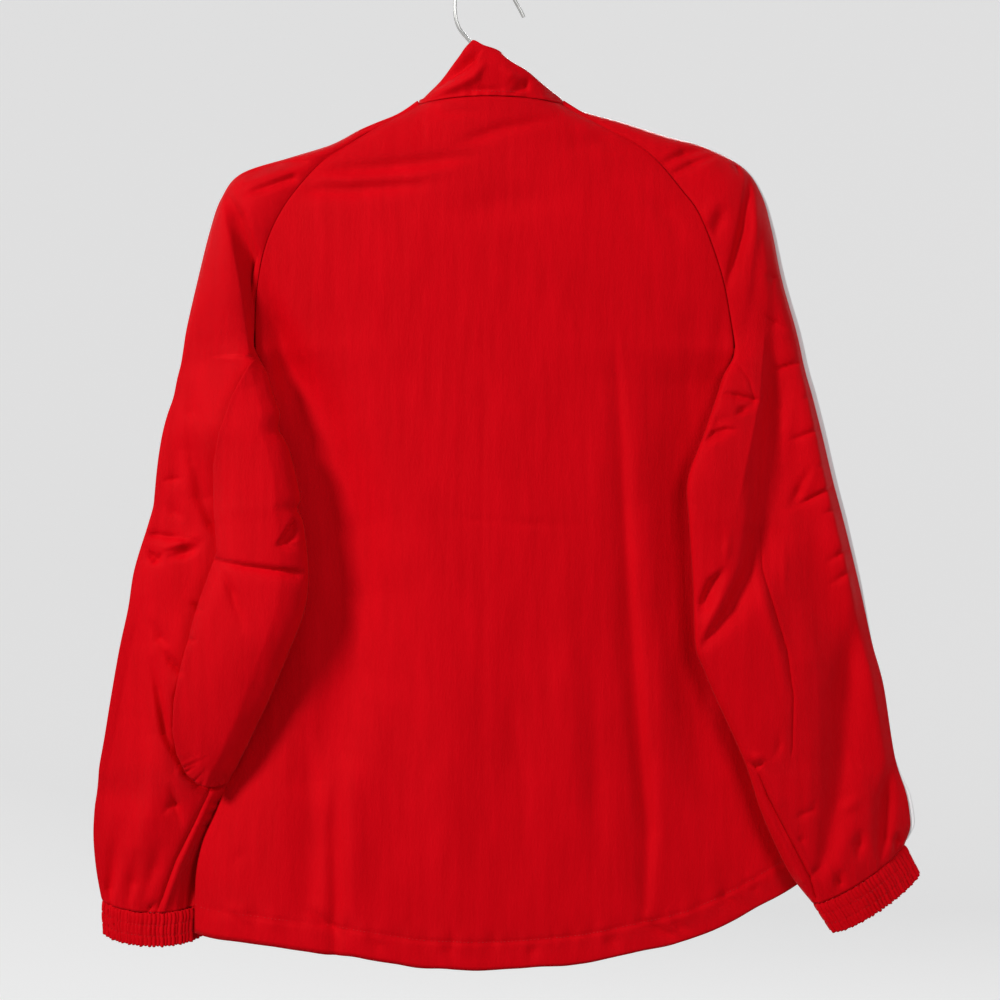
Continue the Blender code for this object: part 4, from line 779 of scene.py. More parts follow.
def bagged(x, drop, outline):
    """Lift towards the camera and slide in x and drop, in mm, for the outline of a bag."""
    nearest = np.full_like(x, 1e9)
    inside, height, arc, low = (np.zeros_like(x) for _ in range(4))
    out_x, out_d = np.zeros_like(x), np.zeros_like(x)
    run = 0.0
    for (x1, d1, h1), (x2, d2, h2) in zip(outline, outline[1:]):
        run_x, run_d = x2 - x1, d2 - d1
        length = math.hypot(run_x, run_d)
        along = np.clip(((x - x1) * run_x + (drop - d1) * run_d) / length**2, 0, 1)
        away_x, away_d = x - x1 - along * run_x, drop - d1 - along * run_d
        off = np.hypot(away_x, away_d)
        side = np.sign(away_x * run_d - away_d * run_x)
        closer = off < nearest
        nearest = np.minimum(off, nearest)
        inside = np.where(closer, off * side, inside)
        height = np.where(closer, mix(h1, h2, along), height)
        arc = np.where(closer, run + along * length, arc)
        low = np.where(closer, mix(d1, d2, along), low)
        run += length
        out_x = np.where(closer, -run_d / length, out_x)
        out_d = np.where(closer, run_x / length, out_d)
    share = ease(inside / LIP + 0.5)
    pleat = arc / GATHER_PITCH + 0.5 * np.sin(arc / 6.1)
    deep = 0.55 + 0.45 * np.sin(np.floor(pleat) * 2.7)
    fade = np.exp(-np.clip(inside, 0, None) / (5 + 6 * deep)) * (inside > 0)
    gathered = ease((low - GATHERS_FROM) / GATHERS_OVER)
    height = height - GATHER_DEPTH * deep * np.abs(np.cos(np.pi * pleat)) * fade * gathered
    near = np.exp(-((inside / OVERHANG_REACH) ** 2))
    slide = OVERHANG * (share - 0.5) * near * np.clip(height / 8, 0, 1)
    return height * share, slide * out_x, slide * out_d


print("the bag's outline has", len(LEFT_BAG), "points")

# %% [markdown]
# ## Nylon
#
# The cloth is a thin plain weave of bright red nylon. It is dyed through, so its colour hardly
# varies, but its shine does: every thread catches light along its length. The material lays two
# fine sets of threads along the panel's own map and roughens them with a crinkle too small for
# the mesh. Its red carries painted shade and light: darker in the crinkle's bottoms and lighter on
# its tops, with a slow random change of tone mixed in. Sheen gives the pale edge that thin cloth
# shows where it turns away.

# %% A small helper for node trees


def nodes_of(material):
    """A material's tree, its shader, and a function that adds a node with its inputs."""
    material.use_nodes = True
    tree = material.node_tree
    shader = tree.nodes["Principled BSDF"]

    def add(kind, inputs=(), **settings):
        made = tree.nodes.new(kind)
        for key, value in settings.items():
            setattr(made, key, value)
        for slot, value in dict(inputs).items():
            if isinstance(value, bpy.types.NodeSocket):
                tree.links.new(value, made.inputs[slot])
            else:
                made.inputs[slot].default_value = value
        return made

    return tree, shader, add


def two_tones(shader, tree, add, factor, stops, dark, light):
    """The base colour runs from dark to light between two stops of a factor."""
    ramp = add("ShaderNodeValToRGB", {"Fac": factor})
    for element, stop, colour in zip(ramp.color_ramp.elements, stops, (dark, light)):
        element.position = stop
        element.color = (*colour, 1)
    tree.links.new(ramp.outputs[0], shader.inputs["Base Color"])


def rougher(shader, tree, add, pattern, low, high):
    """The roughness follows a pattern between two values."""
    rough = add("ShaderNodeMapRange", {"Value": pattern, "To Min": low, "To Max": high})
    tree.links.new(rough.outputs[0], shader.inputs["Roughness"])


def noise_node(add, coordinates, scale, detail=2.0, stretch=(1, 1, 1)):
    """A noise pattern on coordinates in metres; scale counts its waves in a metre."""
    mapped = add("ShaderNodeMapping", {"Vector": coordinates, "Scale": stretch})
    made = add("ShaderNodeTexNoise", {"Vector": mapped.outputs[0], "Scale": scale,
                                      "Detail": detail, "Roughness": 0.55})
    return made.outputs["Fac"]


print("helpers for materials are ready")

# %% Woven nylon and woven tape


def woven(name, deep, bright, thread, roughness, sheen, crinkle=1.0):
    """Plain-woven cloth. Its map is in metres, so thread is the real spacing of its threads.

    A wave texture has 3.14 bands in a unit at a scale of 1 / 0.314, hence the factor.
    """
    made = bpy.data.materials.new(name)
    tree, shader, add = nodes_of(made)
    where = add("ShaderNodeTexCoord")
    cloth_map, solid = where.outputs["UV"], where.outputs["Object"]
    waves = []
    for direction in ("X", "Y"):
        wave = add("ShaderNodeTexWave", {"Vector": cloth_map, "Scale": 0.314 / thread,
                                         "Distortion": 0.6, "Detail": 1.0},
                   wave_type="BANDS", bands_direction=direction)
        waves.append(wave.outputs["Fac"])
    weave = add("ShaderNodeMath", {0: waves[0], 1: waves[1]}, operation="MULTIPLY")
    upright = noise_node(add, solid, 120, 3, (1.0, 1.0, 0.14))
    fleck = noise_node(add, solid, 620, 2, (1.0, 1.0, 0.5))
    slow = noise_node(add, solid, 16, 2)
    # painted shade and light: the base colour follows the crinkle's bump, darker in its bottoms
    # and lighter on its tops, mixed with a slow random change of tone
    crinkle_shade_and_tone = add("ShaderNodeMix", {"Factor": 0.35, "A": upright, "B": slow}, data_type="FLOAT")
    two_tones(shader, tree, add, crinkle_shade_and_tone.outputs[0], (0.3, 0.7), deep, bright)
    rougher(shader, tree, add, fleck, roughness - 0.07, roughness + 0.07)
    # what the bump is made of, and how deep each layer is in metres
    layers = ((weave.outputs[0], 0.00010), (fleck, 0.00022), (upright, 0.0006 * crinkle))
    below = None
    for height, depth in layers:
        bump = add("ShaderNodeBump", {"Height": height, "Distance": depth, "Strength": 1.0})
        if below:
            tree.links.new(below, bump.inputs["Normal"])
        below = bump.outputs[0]
    tree.links.new(below, shader.inputs["Normal"])
    shader.inputs["Sheen Weight"].default_value = sheen
    shader.inputs["Sheen Roughness"].default_value = 0.35
    shader.inputs["Specular IOR Level"].default_value = 0.2
    for slot, paler in (("Sheen Tint", 0.12), ("Specular Tint", 0.1)):
        shader.inputs[slot].default_value = (*[mix(c, 1, paler) for c in bright], 1)
    print("material", name, "with a thread every", thread * 1000, "mm")
    return made


# name, deep and bright colour (the painted shade of the crinkle's bottoms and the painted light
# of its tops), thread in metres, roughness, sheen, strength of the crinkle
red_nylon = woven("red nylon", (0.58, 0.0006, 0.0045), (0.67, 0.0008, 0.006), 0.0006, 0.52, 0.06)
white_tape = woven("white tape", (0.86, 0.86, 0.86), (0.93, 0.93, 0.93), 0.0009, 0.6, 0.1, 0.3)
zip_cloth = woven("zip tape", (0.46, 0.0006, 0.005), (0.6, 0.0008, 0.006), 0.0008, 0.65, 0.1, 0.2)

# %% [markdown]
# ## Cutting a panel
#
# Every panel starts as a flat grid, as cloth does. Its points are then carried to the surface
# that the tables describe, and Solidify gives it a wall. The panel's map keeps the flat
# measures, so that the threads run along the cloth. Where a panel turns sharply its rows and
# columns lie closer together.

# %% Panels
WALL = 0.7      # of the finished cloth, in mm, a little more than real nylon


def evenly(weight, samples, shares):
    """Places for shares 0 to 1 along samples, crowded together where the weight is high."""
    total = np.concatenate(([0.0], np.cumsum((weight[1:] + weight[:-1]) / 2)))
    return np.interp(shares, total / total[-1], samples)


def link(name, mesh_bm, finish, wall=0.0):
    """An object of a bmesh, with one finish and, if asked for, a wall in mm."""
    mesh = bpy.data.meshes.new(name)
    mesh_bm.to_mesh(mesh)
    mesh_bm.free()
    mesh.materials.append(finish)
    mesh.shade_smooth()
    piece = bpy.data.objects.new(name, mesh)
    bpy.context.scene.collection.objects.link(piece)
    if wall:
        shell = piece.modifiers.new("Wall", "SOLIDIFY")
        shell.thickness = wall * MM
        shell.offset = 0.0
    return piece


def dress(piece, node=None):
    """The piece moves with the jacket and may stand for a CAD node."""
    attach(piece, "jacket")
    if node:
        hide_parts(node)
    return piece


def panel(name, columns, rows, surface, cut, finish=red_nylon, wall=WALL, closed=False):
    """One cut piece: surface takes arrays of row and column shares and gives x, drop and y."""
    cloth = bmesh.new()
    flat = cloth.loops.layers.uv.new("cloth")
    bmesh.ops.create_grid(cloth, x_segments=columns, y_segments=rows, size=0.5, calc_uvs=True)
    for face in cloth.faces:
        for loop in face.loops:
            loop[flat].uv = (loop[flat].uv[0] * cut[0], loop[flat].uv[1] * cut[1])
    shares = np.array([vert.co[:2] for vert in cloth.verts]) + 0.5
    for vert, x, drop, y in zip(cloth.verts, *surface(shares[:, 1], shares[:, 0])):
        vert.co = place(x, drop, y)
    if closed:
        bmesh.ops.remove_doubles(cloth, verts=cloth.verts, dist=1e-5)
    area = sum(face.calc_area() for face in cloth.faces)
    piece = link(name, cloth, finish, wall)
    print(f"{name}: {len(piece.data.polygons)} faces, {area:.4f} m2 of cloth")
    return piece


# %% [markdown]
# ## Sleeves
#
# Each sleeve is one tube cut in two halves, which meet at the underarm and under the tape on
# the overarm. The end is gathered into the cuff, so small upright pleats run out of the seam
# and fade within a finger's length.

# %% How gathers and creases press a sleeve
GATHERS = 34.0      # how far the cuff's gathers reach up the sleeve
GATHERS_ROUND = 11  # of them on each half of a sleeve
CREASES = {-1: LEFT_CREASES, 1: RIGHT_CREASES}
NAMES = {-1: "left", 1: "right"}


def middle_line(side):
    """Even samples of rows, and how far down the sleeve each lies, in mm."""
    ats = np.linspace(0, len(SLEEVES[side]) - 1, 541)
    s = section(SLEEVES[side], SLEEVE, ats)
    steps = np.hypot(np.diff(s["in_x"] + s["out_x"]), np.diff(s["in_drop"] + s["out_drop"])) / 2
    return ats, np.concatenate(([0.0], np.cumsum(steps)))


def cuff_gathers(vs, above, seed):
    """How deep the gathers over the cuff press the cloth, at shares across and mm above it."""
    turn = vs * GATHERS_ROUND + 0.8 * np.sin(vs * 9 + seed) + 0.35 * np.sin(vs * 31 + seed)
    reach = GATHERS * (0.55 + 0.45 * np.sin(np.floor(turn) * 2.4 + seed))
    near_cuff = 1 - np.clip(above / np.maximum(reach, 9), 0, 1)
    deep = 1.1 + 0.9 * np.sin(np.floor(turn) * 4.1 + seed)
    return deep * near_cuff**1.3 * (np.abs(np.sin(np.pi * turn)) ** 0.8 - 0.4)


def half_sleeve(side, ats, vs, face):
    """Points of a half sleeve, with its creases; ats are rows and vs shares across."""
    x, drop, y = sleeve(side, ats, vs, face)
    rows, down = middle_line(side)
    along = np.interp(ats, rows, down)
    arch = np.clip(4 * vs * (1 - vs), 0, 1)
    hold = np.minimum(1.0, 4.0 * arch)
    seed = 17.0 + 6.0 * side
    press = crumpled(x, drop, seed + face) + cuff_gathers(vs, down[-1] - along, seed)
    if face < 0:
        press += pressed(x, drop, CREASES[side])
        y = y + press * hold
        if side < 0:
            rise, slide_x, slide_d = bagged(x, drop, LEFT_BAG)
            free = np.minimum(1.0, np.sqrt(np.clip(vs, 0, 1) / 0.15))
            x, drop, y = x + slide_x * free, drop + slide_d * free, y - rise * free
        return x, drop, y
    from_seam = np.abs(x - section(SLEEVES[side], SLEEVE, ats)["in_x"])
    press += pressed(from_seam, along, SLEEVE_FRONT_CREASES)
    return x, drop, y - press * hold


for side in (-1, 1):
    print(NAMES[side], "sleeve", round(float(middle_line(side)[1][-1])), "mm long")

# %% Halves of the sleeves
LAP = 0.9           # the front half's edges lie this far inside the back half's
SEAM_INSET = 0.35   # the back half's edge lies this far inside the raglan seam
ELBOW_BAG_BOTTOM = 650.0            # the drop where rows lie closest together
# lines of x and drop that the columns of a back half crowd round, so that they come out crisp
CRISP = {-1: (LEFT_BAG[:14], ((-222, 650), (-234, 681), (-250, 713), (-264, 752))),
         1: (((213, 440), (215, 482), (224, 514), (234, 546), (239, 581), (238, 622), (236, 634)),
             ((206, 628), (219, 660), (236, 693), (252, 724), (257, 741)))}


def crowding(side, face, s, vs):
    """How close the columns lie at shares vs across a section: near its edges and crisp lines."""
    weight = 1 + 1.2 * np.exp(-((vs / 0.05) ** 2)) + 1.2 * np.exp(-((1 - vs) / 0.05) ** 2)
    for line in CRISP[side] if face < 0 else ():
        drops, xs = [node[1] for node in line], [node[0] for node in line]
        share = (np.interp(s["in_drop"], drops, xs) - s["in_x"]) / (s["out_x"] - s["in_x"])
        near = (ease((s["in_drop"] - drops[0]) / 20)
                * ease((drops[-1] + 10 - s["in_drop"]) / 20))
        weight += 4 * near * np.exp(-(((vs - share) / 0.04) ** 2))
    return weight


def sleeve_half(side, face):
    """Build one half of a sleeve: minus is the back, plus the front."""
    samples, down = middle_line(side)
    pace = np.gradient(down, samples)
    if side < 0 and face < 0:
        s = section(SLEEVES[side], SLEEVE, samples)
        middle_drop = (s["in_drop"] + s["out_drop"]) / 2
        pace = pace * (1 + 2.2 * np.exp(-((middle_drop - ELBOW_BAG_BOTTOM) / 9) ** 2))
    crossing = {}

    def across(at, shares):
        key = round(at, 4)
        if key not in crossing:
            vs = np.linspace(0, 1, 401)
            s = section(SLEEVES[side], SLEEVE, at)
            weight = crowding(side, face, s, vs)
            width = math.hypot(s["in_x"] - s["out_x"], s["in_drop"] - s["out_drop"])
            inner = (SEAM_INSET if at < UNDERARM else (LAP if face > 0 else 0)) / max(width, 6)
            outer = 1 - (LAP if face > 0 else 0.0) / max(width, 12)
            crossing[key] = (weight, vs, inner, outer)
        weight, vs, inner, outer = crossing[key]
        return mix(inner, outer, evenly(weight, vs, shares))

    def surface(rows, columns):
        ats = evenly(pace, samples, rows)
        ends = np.unique(ats)
        vs = np.zeros_like(ats)
        for at in ends:
            chosen = ats == at
            vs[chosen] = across(at, columns[chosen])
        return half_sleeve(side, ats, vs, face)

    name = f"sleeve_{NAMES[side]}_{'back' if face < 0 else 'front'}"
    columns, rows = (96, 500) if face < 0 else (60, 180)
    return dress(panel(f"{name}_panel", columns, rows, surface, (0.26, 0.66)), name)


half_sleeves = {(side, face): sleeve_half(side, face)
                for side in (-1, 1) for face in (-1, 1)}

# %% [markdown]
# ## Back and fronts
#
# The back is one panel from the neck to the hem. Its edges run in under the raglan seams and the
# side seams. The hem is turned up and stitched a finger's width above the edge, and because that
# tunnel holds a soft elastic, the cloth puckers along the stitches.

# %% Back and fronts
HEM_STITCH = 22.0
PUCKER, SMALL_PUCKER = 9.0, 4.3     # from one pucker of the hem to the next
PUCKER_HEIGHT, PUCKER_REACH = 2.2, 8
HEM_SWAY, SWAY_PITCH = 1.6, 24      # how far the hem's edge rises and falls
ZIP_X, ZIP_OPENING = 0.5, 6.0
RIPPLE, RIPPLE_PITCH, RIPPLE_REACH = 1.6, 16, 12    # of the cloth beside the zip
BACK_SEED, FRONT_SEED = 3.0, 5.0
HALF_GIRTH, CHEST = 300, 380        # widths that turn a few mm at an edge into shares across


def hem_share(rise, x, seed):
    """How the turned-up hem stands in or out at a height above the edge, in mm."""
    groove = 0.7 * np.exp(-(((rise - HEM_STITCH) / 1.3) ** 2))
    band = -0.5 * ease(rise / 2) * ease((HEM_STITCH - 1 - rise) / 3)
    wave = uneven(x, PUCKER, 0.5, seed) + uneven(x, SMALL_PUCKER, 2.5, seed, 0.5)
    reach = np.exp(-(((rise - HEM_STITCH) / PUCKER_REACH) ** 2))
    return groove + band + PUCKER_HEIGHT * wave * reach


def body_panel(ats, us, face, creases, seed):
    """Points of the back or a front, with its creases and its hem."""
    x, drop, y = body(ats, us, face)
    rise = body(2, us, face)[1] - drop
    arch = np.clip(4 * us * (1 - us), 0, 1)
    press = crumpled(x, drop, seed) + pressed(x, drop, creases) + hem_share(rise, x, seed)
    near_hem = np.exp(-np.clip(rise, 0, None) / 10)
    sway = uneven(x, SWAY_PITCH, 0.3, seed + 5)
    drop = drop + HEM_SWAY * sway * near_hem * np.minimum(1, 4 * arch)
    return x, drop, y - face * press * np.minimum(1.0, 5 * arch)


def down_the_body(shares):
    """Rows for shares from the neck to the hem, closer together along the hem's stitches."""
    samples = np.linspace(0, 2, 401)
    drops = body(samples, 0.5, -1)[1]
    pace = np.gradient(drops, samples)
    pace *= 1 + 1.2 * np.exp(-((drops[-1] - drops - HEM_STITCH) / 8) ** 2)
    return evenly(pace, samples, shares)


def build_back():
    def surface(rows, columns):
        ats = down_the_body(rows)
        vs = np.linspace(0, 1, 401)
        weight = 1 + 1.5 * np.exp(-(vs / 0.02) ** 2) + 1.5 * np.exp(-((1 - vs) / 0.02) ** 2)
        us = evenly(weight, vs, columns)
        inset = SEAM_INSET / HALF_GIRTH
        return body_panel(ats, mix(inset, 1 - inset, us), -1, BACK_CREASES, BACK_SEED)

    return dress(panel("back_panel", 164, 230, surface, (0.5, 0.68)), "back")


back_panel = build_back()


# %% The fronts stop beside the zip


def zip_share(at, offset):
    """How far across the front a line lies that is offset from the zip."""
    us = np.linspace(0.3, 0.7, 41)
    return float(np.interp(ZIP_X + offset, body(at, us, 1)[0], us))


def zip_ripple(x, drop, sign):
    """How far the cloth ripples beside the zip, in mm."""
    by_zip = np.exp(-np.abs(x - ZIP_X - sign * ZIP_OPENING) / RIPPLE_REACH)
    return RIPPLE * uneven(drop, RIPPLE_PITCH, sign, 1.5) * by_zip


def build_front(sign):
    side = NAMES[sign]

    def surface(rows, columns):
        ats = down_the_body(rows)
        inner = {at: zip_share(at, sign * ZIP_OPENING) for at in np.unique(ats)}
        stops = np.array([inner[at] for at in ats])
        outer = LAP / CHEST if sign < 0 else 1 - LAP / CHEST
        x, drop, y = body_panel(ats, mix(outer, stops, 1 - np.cos(math.pi / 2 * columns)), 1,
                                FRONT_CREASES, FRONT_SEED + sign)
        return x, drop, y + zip_ripple(x, drop, sign)

    return dress(panel(f"front_{side}_panel", 84, 200, surface, (0.27, 0.64)),
                 f"front_{side}")


front_panels = {side: build_front(side) for side in (-1, 1)}

# %% [markdown]
# ## Collar
#
# The stand collar is two layers of the same nylon, so it is a little thicker and keeps a
# rounder fold. It has lost its stand: it leans in over the hanger and has a peak left of the
# middle.

# %% Collar
COLLAR_WALL = 1.1
COLLAR_END = 0.012      # the share round the collar that stays open at the zip
FOOT_GATHER, FOOT_PITCH = 1.3, 6.5      # how the cloth puckers along the neck seam


def collar_press(x, drop, y):
    """The collar's creases, which lie only behind, and the puckers of its foot, in mm."""
    return (pressed(x, drop, COLLAR_CREASES) * ease(-y / 6), uneven(x, FOOT_PITCH, 4.5, 2.0))


def build_collar():
    def surface(rows, columns):
        x, drop, y = collar(mix(COLLAR_END, 1 - COLLAR_END, columns), rows)
        creased, gathered = collar_press(x, drop, y)
        press = creased * ease(rows * 6) + crumpled(x, drop, 31.0, 0.15, 0.8) * ease(rows * 5)
        return x, drop, y + press + FOOT_GATHER * gathered * np.exp(-((rows / 0.14) ** 2))

    return dress(panel("collar_stand", 300, 40, surface, (0.42, 0.06), wall=COLLAR_WALL),
                 "collar")


collar_stand = build_collar()

# %% [markdown]
# ## Cuffs
#
# Each cuff is a tube of nylon over a wide elastic, stitched round twice while it was stretched.
# When the elastic lets go, the cloth stands up in narrow ribs. A ring of the sleeve's last
# section is spaced evenly and raised rib by rib. The ribs are not all alike, because fingers
# fed the cloth under the needle.

# %% Cuffs
CUFF_LENGTH, CUFF_LAP = 27.0, 0.6
RIBS, RIB_STEPS = 58, 6
RIB_HEIGHT, RIB_FOOT = 2.4, 1.0         # the ribs' feet lie inside the sleeve's outline
CUFF_TOP, CUFF_END = 0.985, 0.95        # how much narrower than the sleeve's end it is
CUFF_SEWN = (0.36, 0.68)                # shares of its length where it is stitched round


def end_ring(side, count):
    """The outline of a sleeve's end in evenly spaced points, its middle, and its way onwards."""
    last = len(SLEEVES[side]) - 1
    s = section(SLEEVES[side], SLEEVE, last)
    across = Vector((s["out_x"] - s["in_x"], s["out_drop"] - s["in_drop"], 0)).normalized()
    onward = Vector((-across.y, across.x, 0))
    onward = onward if onward.y > 0 else -onward
    turns = np.linspace(0, 2 * math.pi, 241)
    loop = np.array([sleeve(side, last, (1 - math.cos(t)) / 2, -1 if math.sin(t) >= 0 else 1)
                     for t in turns])
    run = np.concatenate(([0.0], np.cumsum(np.linalg.norm(np.diff(loop, axis=0), axis=1))))
    even = np.linspace(0, run[-1], count + 1)
    ring = np.array([np.interp(even, run, loop[:, k]) for k in range(3)]).T
    ring[-1] = ring[0]
    return ring, ring[:-1].mean(axis=0), np.array(onward)


def rib_rise(side, turn, row):
    """How high the ribs stand, from 0 to 1, at shares round the cuff and along it."""
    seed = 5.5 + 3.5 * side
    phase = turn * RIBS + 0.22 * np.sin(turn * 25 + seed) + 0.12 * np.sin(row * 9)
    rib = np.abs(np.sin(math.pi * phase)) ** 0.75
    return rib * (0.75 + 0.25 * np.sin(np.floor(phase) * 2.4 + seed))


def build_cuff(side):
    count = RIBS * RIB_STEPS
    ring, centre, onward = end_ring(side, count)

    def surface(rows, columns):
        steps = np.rint(columns * count).astype(int)
        rib = rib_rise(side, steps % count / count, rows)
        sewn = sum(np.exp(-(((rows - row) / 0.02) ** 2)) for row in CUFF_SEWN)
        shrink = mix(CUFF_TOP, CUFF_END, rows) - 0.03 * np.exp(-((rows / 0.1) ** 2))
        out = ring[steps] - centre
        away = out / np.linalg.norm(out, axis=1)[:, None]
        height = RIB_HEIGHT * rib * (1 - 0.5 * sewn) - RIB_FOOT
        end = mix(CUFF_LAP, CUFF_LENGTH, rows) + 0.5 * rib * (rows > 0.97)
        return (centre + out * shrink[:, None] + away * height[:, None]
                + onward * end[:, None]).T

    return dress(panel(f"cuff_{NAMES[side]}_ribbed", count, 26, surface, (0.3, 0.03),
                       closed=True), f"cuff_{NAMES[side]}")


cuffs = {side: build_cuff(side) for side in (-1, 1)}

# %% [markdown]
# ## Seam allowances
#
# Cloth is sewn a little way in from its edge, and the two edges turn inwards together. That
# narrow double strip backs every seam, so no light comes through the stitches. From outside it
# is only the dark bottom of the seam. Each one is a ribbon laid just inside the seam's line.

# %% Ribbons behind the seams
ALLOWANCE = 4.5     # half the width of a ribbon
SEAM_DEPTH = 1.3    # how far inside the seam it lies
RIBBON_WALL = 0.9   # two layers, pressed
UNDERARM_LIFT = 4.0 # towards the camera, below the underarm


def ribbon(name, line, across, inward, count):
    """A strip along a line: across and inward are unit arrays at each point of the line."""
    def surface(rows, columns):
        step = rows * (len(line) - 1)
        point, over, depth = (np.array([np.interp(step, range(len(line)), row) for row in part.T])
                              for part in (line, across, inward))
        reach = (columns - 0.5) * 2
        return point + over * reach * ALLOWANCE + depth * (SEAM_DEPTH + 0.7 * reach**2)

    length = np.linalg.norm(np.diff(line, axis=0), axis=1).sum()
    return dress(panel(name, 4, count, surface, (2 * ALLOWANCE * MM, length * MM),
                       wall=RIBBON_WALL))


def raglan_ribbon(side, face):
    """Down the raglan seam and on past the underarm, flat to the camera."""
    above = np.array(raglan_edge(side, np.linspace(0.0, UNDERARM, 61), face)).T
    s = section(SIDES, SIDE, np.linspace(0.05, 0.3, 4))
    name = NAMES[side]
    below = np.array([s[f"{name}_x"], s[f"{name}_drop"], s[f"{name}_y"] - UNDERARM_LIFT]).T
    line = np.concatenate((above, below)) if face < 0 else above
    run = np.gradient(line, axis=0)
    across = np.array([run[:, 1], -run[:, 0], 0 * run[:, 0]]).T
    across /= np.linalg.norm(across, axis=1)[:, None]
    inward = np.tile((0.0, 0.0, -float(face)), (len(line), 1))
    return ribbon(f"seam_{name}_{'back' if face < 0 else 'front'}", line, across, inward, 90)


def neck_ribbon():
    angles = np.linspace(-172, 172, 121)
    line = np.array(neck(angles)).T
    out = line - (NECK_X, line[:, 1].mean(), 0)
    out[:, 1] = 0
    out /= np.linalg.norm(out, axis=1)[:, None]
    upright = np.tile((0.0, 1.0, 0.0), (len(line), 1))
    return ribbon("seam_neck", line, upright, -out, 200)


seams = {(side, face): raglan_ribbon(side, face) for side in (-1, 1) for face in (-1, 1)}
seams["neck"] = neck_ribbon()

# %% [markdown]
# ## White tape
#
# A plain white tape covers the overarm seam. It lies mostly on the front half, and only its edge
# shows from behind, along the right arm.

# %% Tapes
TAPE_WIDTH, TAPE_WALL = 12.0, 0.8
TAPE_LIFT, TAPE_INSET = 1.4, 3.0    # above the left sleeve's cloth, and in from its edge
TAPE_FROM, TAPE_TO = 1.6, 0.998     # the section where it starts, and the share where it ends
TUCKED, TURNED_IN = 1.6, 7.5        # how far it lies under the right overarm and over the front
SHOWN, FOLD = 0.4, 0.5              # shares of its width where it stops showing and turns back
# how far the tape's edge stands out past the right overarm, at each section of the sleeve
RIGHT_PEEK = (0.2, 0.2, 0.6, 1.4, 1.6, 0.8, 1.6, 2.6, 3.2, 3.4, 3.5, 3.6, 3.7,
              3.8, 3.8, 3.6, 3.4, 2.4, 0.2, -0.4, -0.4, 0.2, 3.2, 3.8, 3.6, 1.4)


def across_unit(side, ats):
    """The way across the sleeve, from the inner edge to the overarm, as flat unit vectors."""
    s = section(SLEEVES[side], SLEEVE, ats)
    run = np.array([s["out_x"] - s["in_x"], s["out_drop"] - s["in_drop"]])
    return run / np.hypot(*run)


def build_tape(side):
    samples, down = middle_line(side)
    keep = samples > TAPE_FROM

    def surface(rows, columns):
        ats = evenly(np.gradient(down, samples)[keep], samples[keep], rows * TAPE_TO)
        out_x, out_drop = across_unit(side, ats)
        if side < 0:
            s = section(SLEEVES[side], SLEEVE, ats)
            widths = np.hypot(s["out_x"] - s["in_x"], s["out_drop"] - s["in_drop"])
            vs = np.clip(1 - (TAPE_INSET + TAPE_WIDTH * columns) / widths, 0.01, 0.99)
            x, drop, y = half_sleeve(side, ats, vs, 1)
            return x, drop, y + TAPE_LIFT
        # from under the sleeve's edge outwards, round the tape's fold, and in over the front
        x, drop, y = half_sleeve(side, ats, np.full_like(ats, 0.998), 1)
        peek = np.interp(ats, range(len(RIGHT_SLEEVE)), RIGHT_PEEK)
        shown = np.clip(columns / SHOWN, 0, 1)
        turned = np.clip((columns - FOLD) / (1 - FOLD), 0, 1)
        out = mix(-TUCKED, peek, shown) - (peek + TURNED_IN) * turned
        back = 0.2 - 1.1 * shown + 2.6 * ease((columns - SHOWN) / 0.1) + 3.2 * np.sqrt(turned)
        return x + out * out_x, drop + out * out_drop, y + back

    return dress(panel(f"stripe_{NAMES[side]}_tape", 20, 260, surface, (0.013, 0.64),
                       white_tape, TAPE_WALL), f"stripe_{NAMES[side]}")


tapes = {side: build_tape(side) for side in (-1, 1)}

# %% [markdown]
# ## Zip
#
# A coil zip is two narrow woven tapes, each with a nylon coil sewn along its edge. From a step
# away the two coils read as a row of small teeth that lock like fingers. One tooth is a bevelled
# block of a few faces, repeated down the zip on both sides, half a pitch apart.

# %% Zip tapes
TAPE_EDGE, TAPE_START, ZIP_SET = 9.0, 0.4, 1.9
ZIP_TAPE_WALL = 0.6
TOOTH, TOOTH_PITCH = (3.2, 1.5, 1.45), 2.4
TOOTH_SHIFT, TOOTH_BEVEL = 0.8, 0.35    # off the middle to its own side
NECK_SHARE = 0.85       # of the zip's length lies below the neck seam


def front_line(up):
    """Drop and y of the zip's middle from the hem (0) over the neck seam to its top (1)."""
    if up < NECK_SHARE:
        at = mix(2.0, 0.0, up / NECK_SHARE)
        return body(at, zip_share(at, 0), 1)[1:]
    return collar(0.0, (up - NECK_SHARE) / (1 - NECK_SHARE))[1:]


zip_ups = np.linspace(0, 1, 161)
zip_line = np.array([front_line(up) for up in zip_ups])
zip_run = np.concatenate(([0.0], np.cumsum(np.hypot(*np.diff(zip_line, axis=0).T))))


def on_zip(run):
    """Drop and y of the zip at a length above the hem, in mm."""
    return np.interp(run, zip_run, zip_line[:, 0]), np.interp(run, zip_run, zip_line[:, 1])


def build_zip_tape(sign):
    def surface(rows, columns):
        drop, y = on_zip(rows * zip_run[-1])
        x = ZIP_X + sign * mix(TAPE_START, TAPE_EDGE, columns)
        return x, drop, y - ZIP_SET - 0.9 + 0.5 * columns

    return dress(panel(f"zip_{NAMES[sign]}_tape", 8, 220, surface, (0.016, 0.68), zip_cloth,
                       ZIP_TAPE_WALL), f"zip_tape_{NAMES[sign]}")


zip_tapes = {side: build_zip_tape(side) for side in (-1, 1)}

# %% Teeth, slider and pull tab


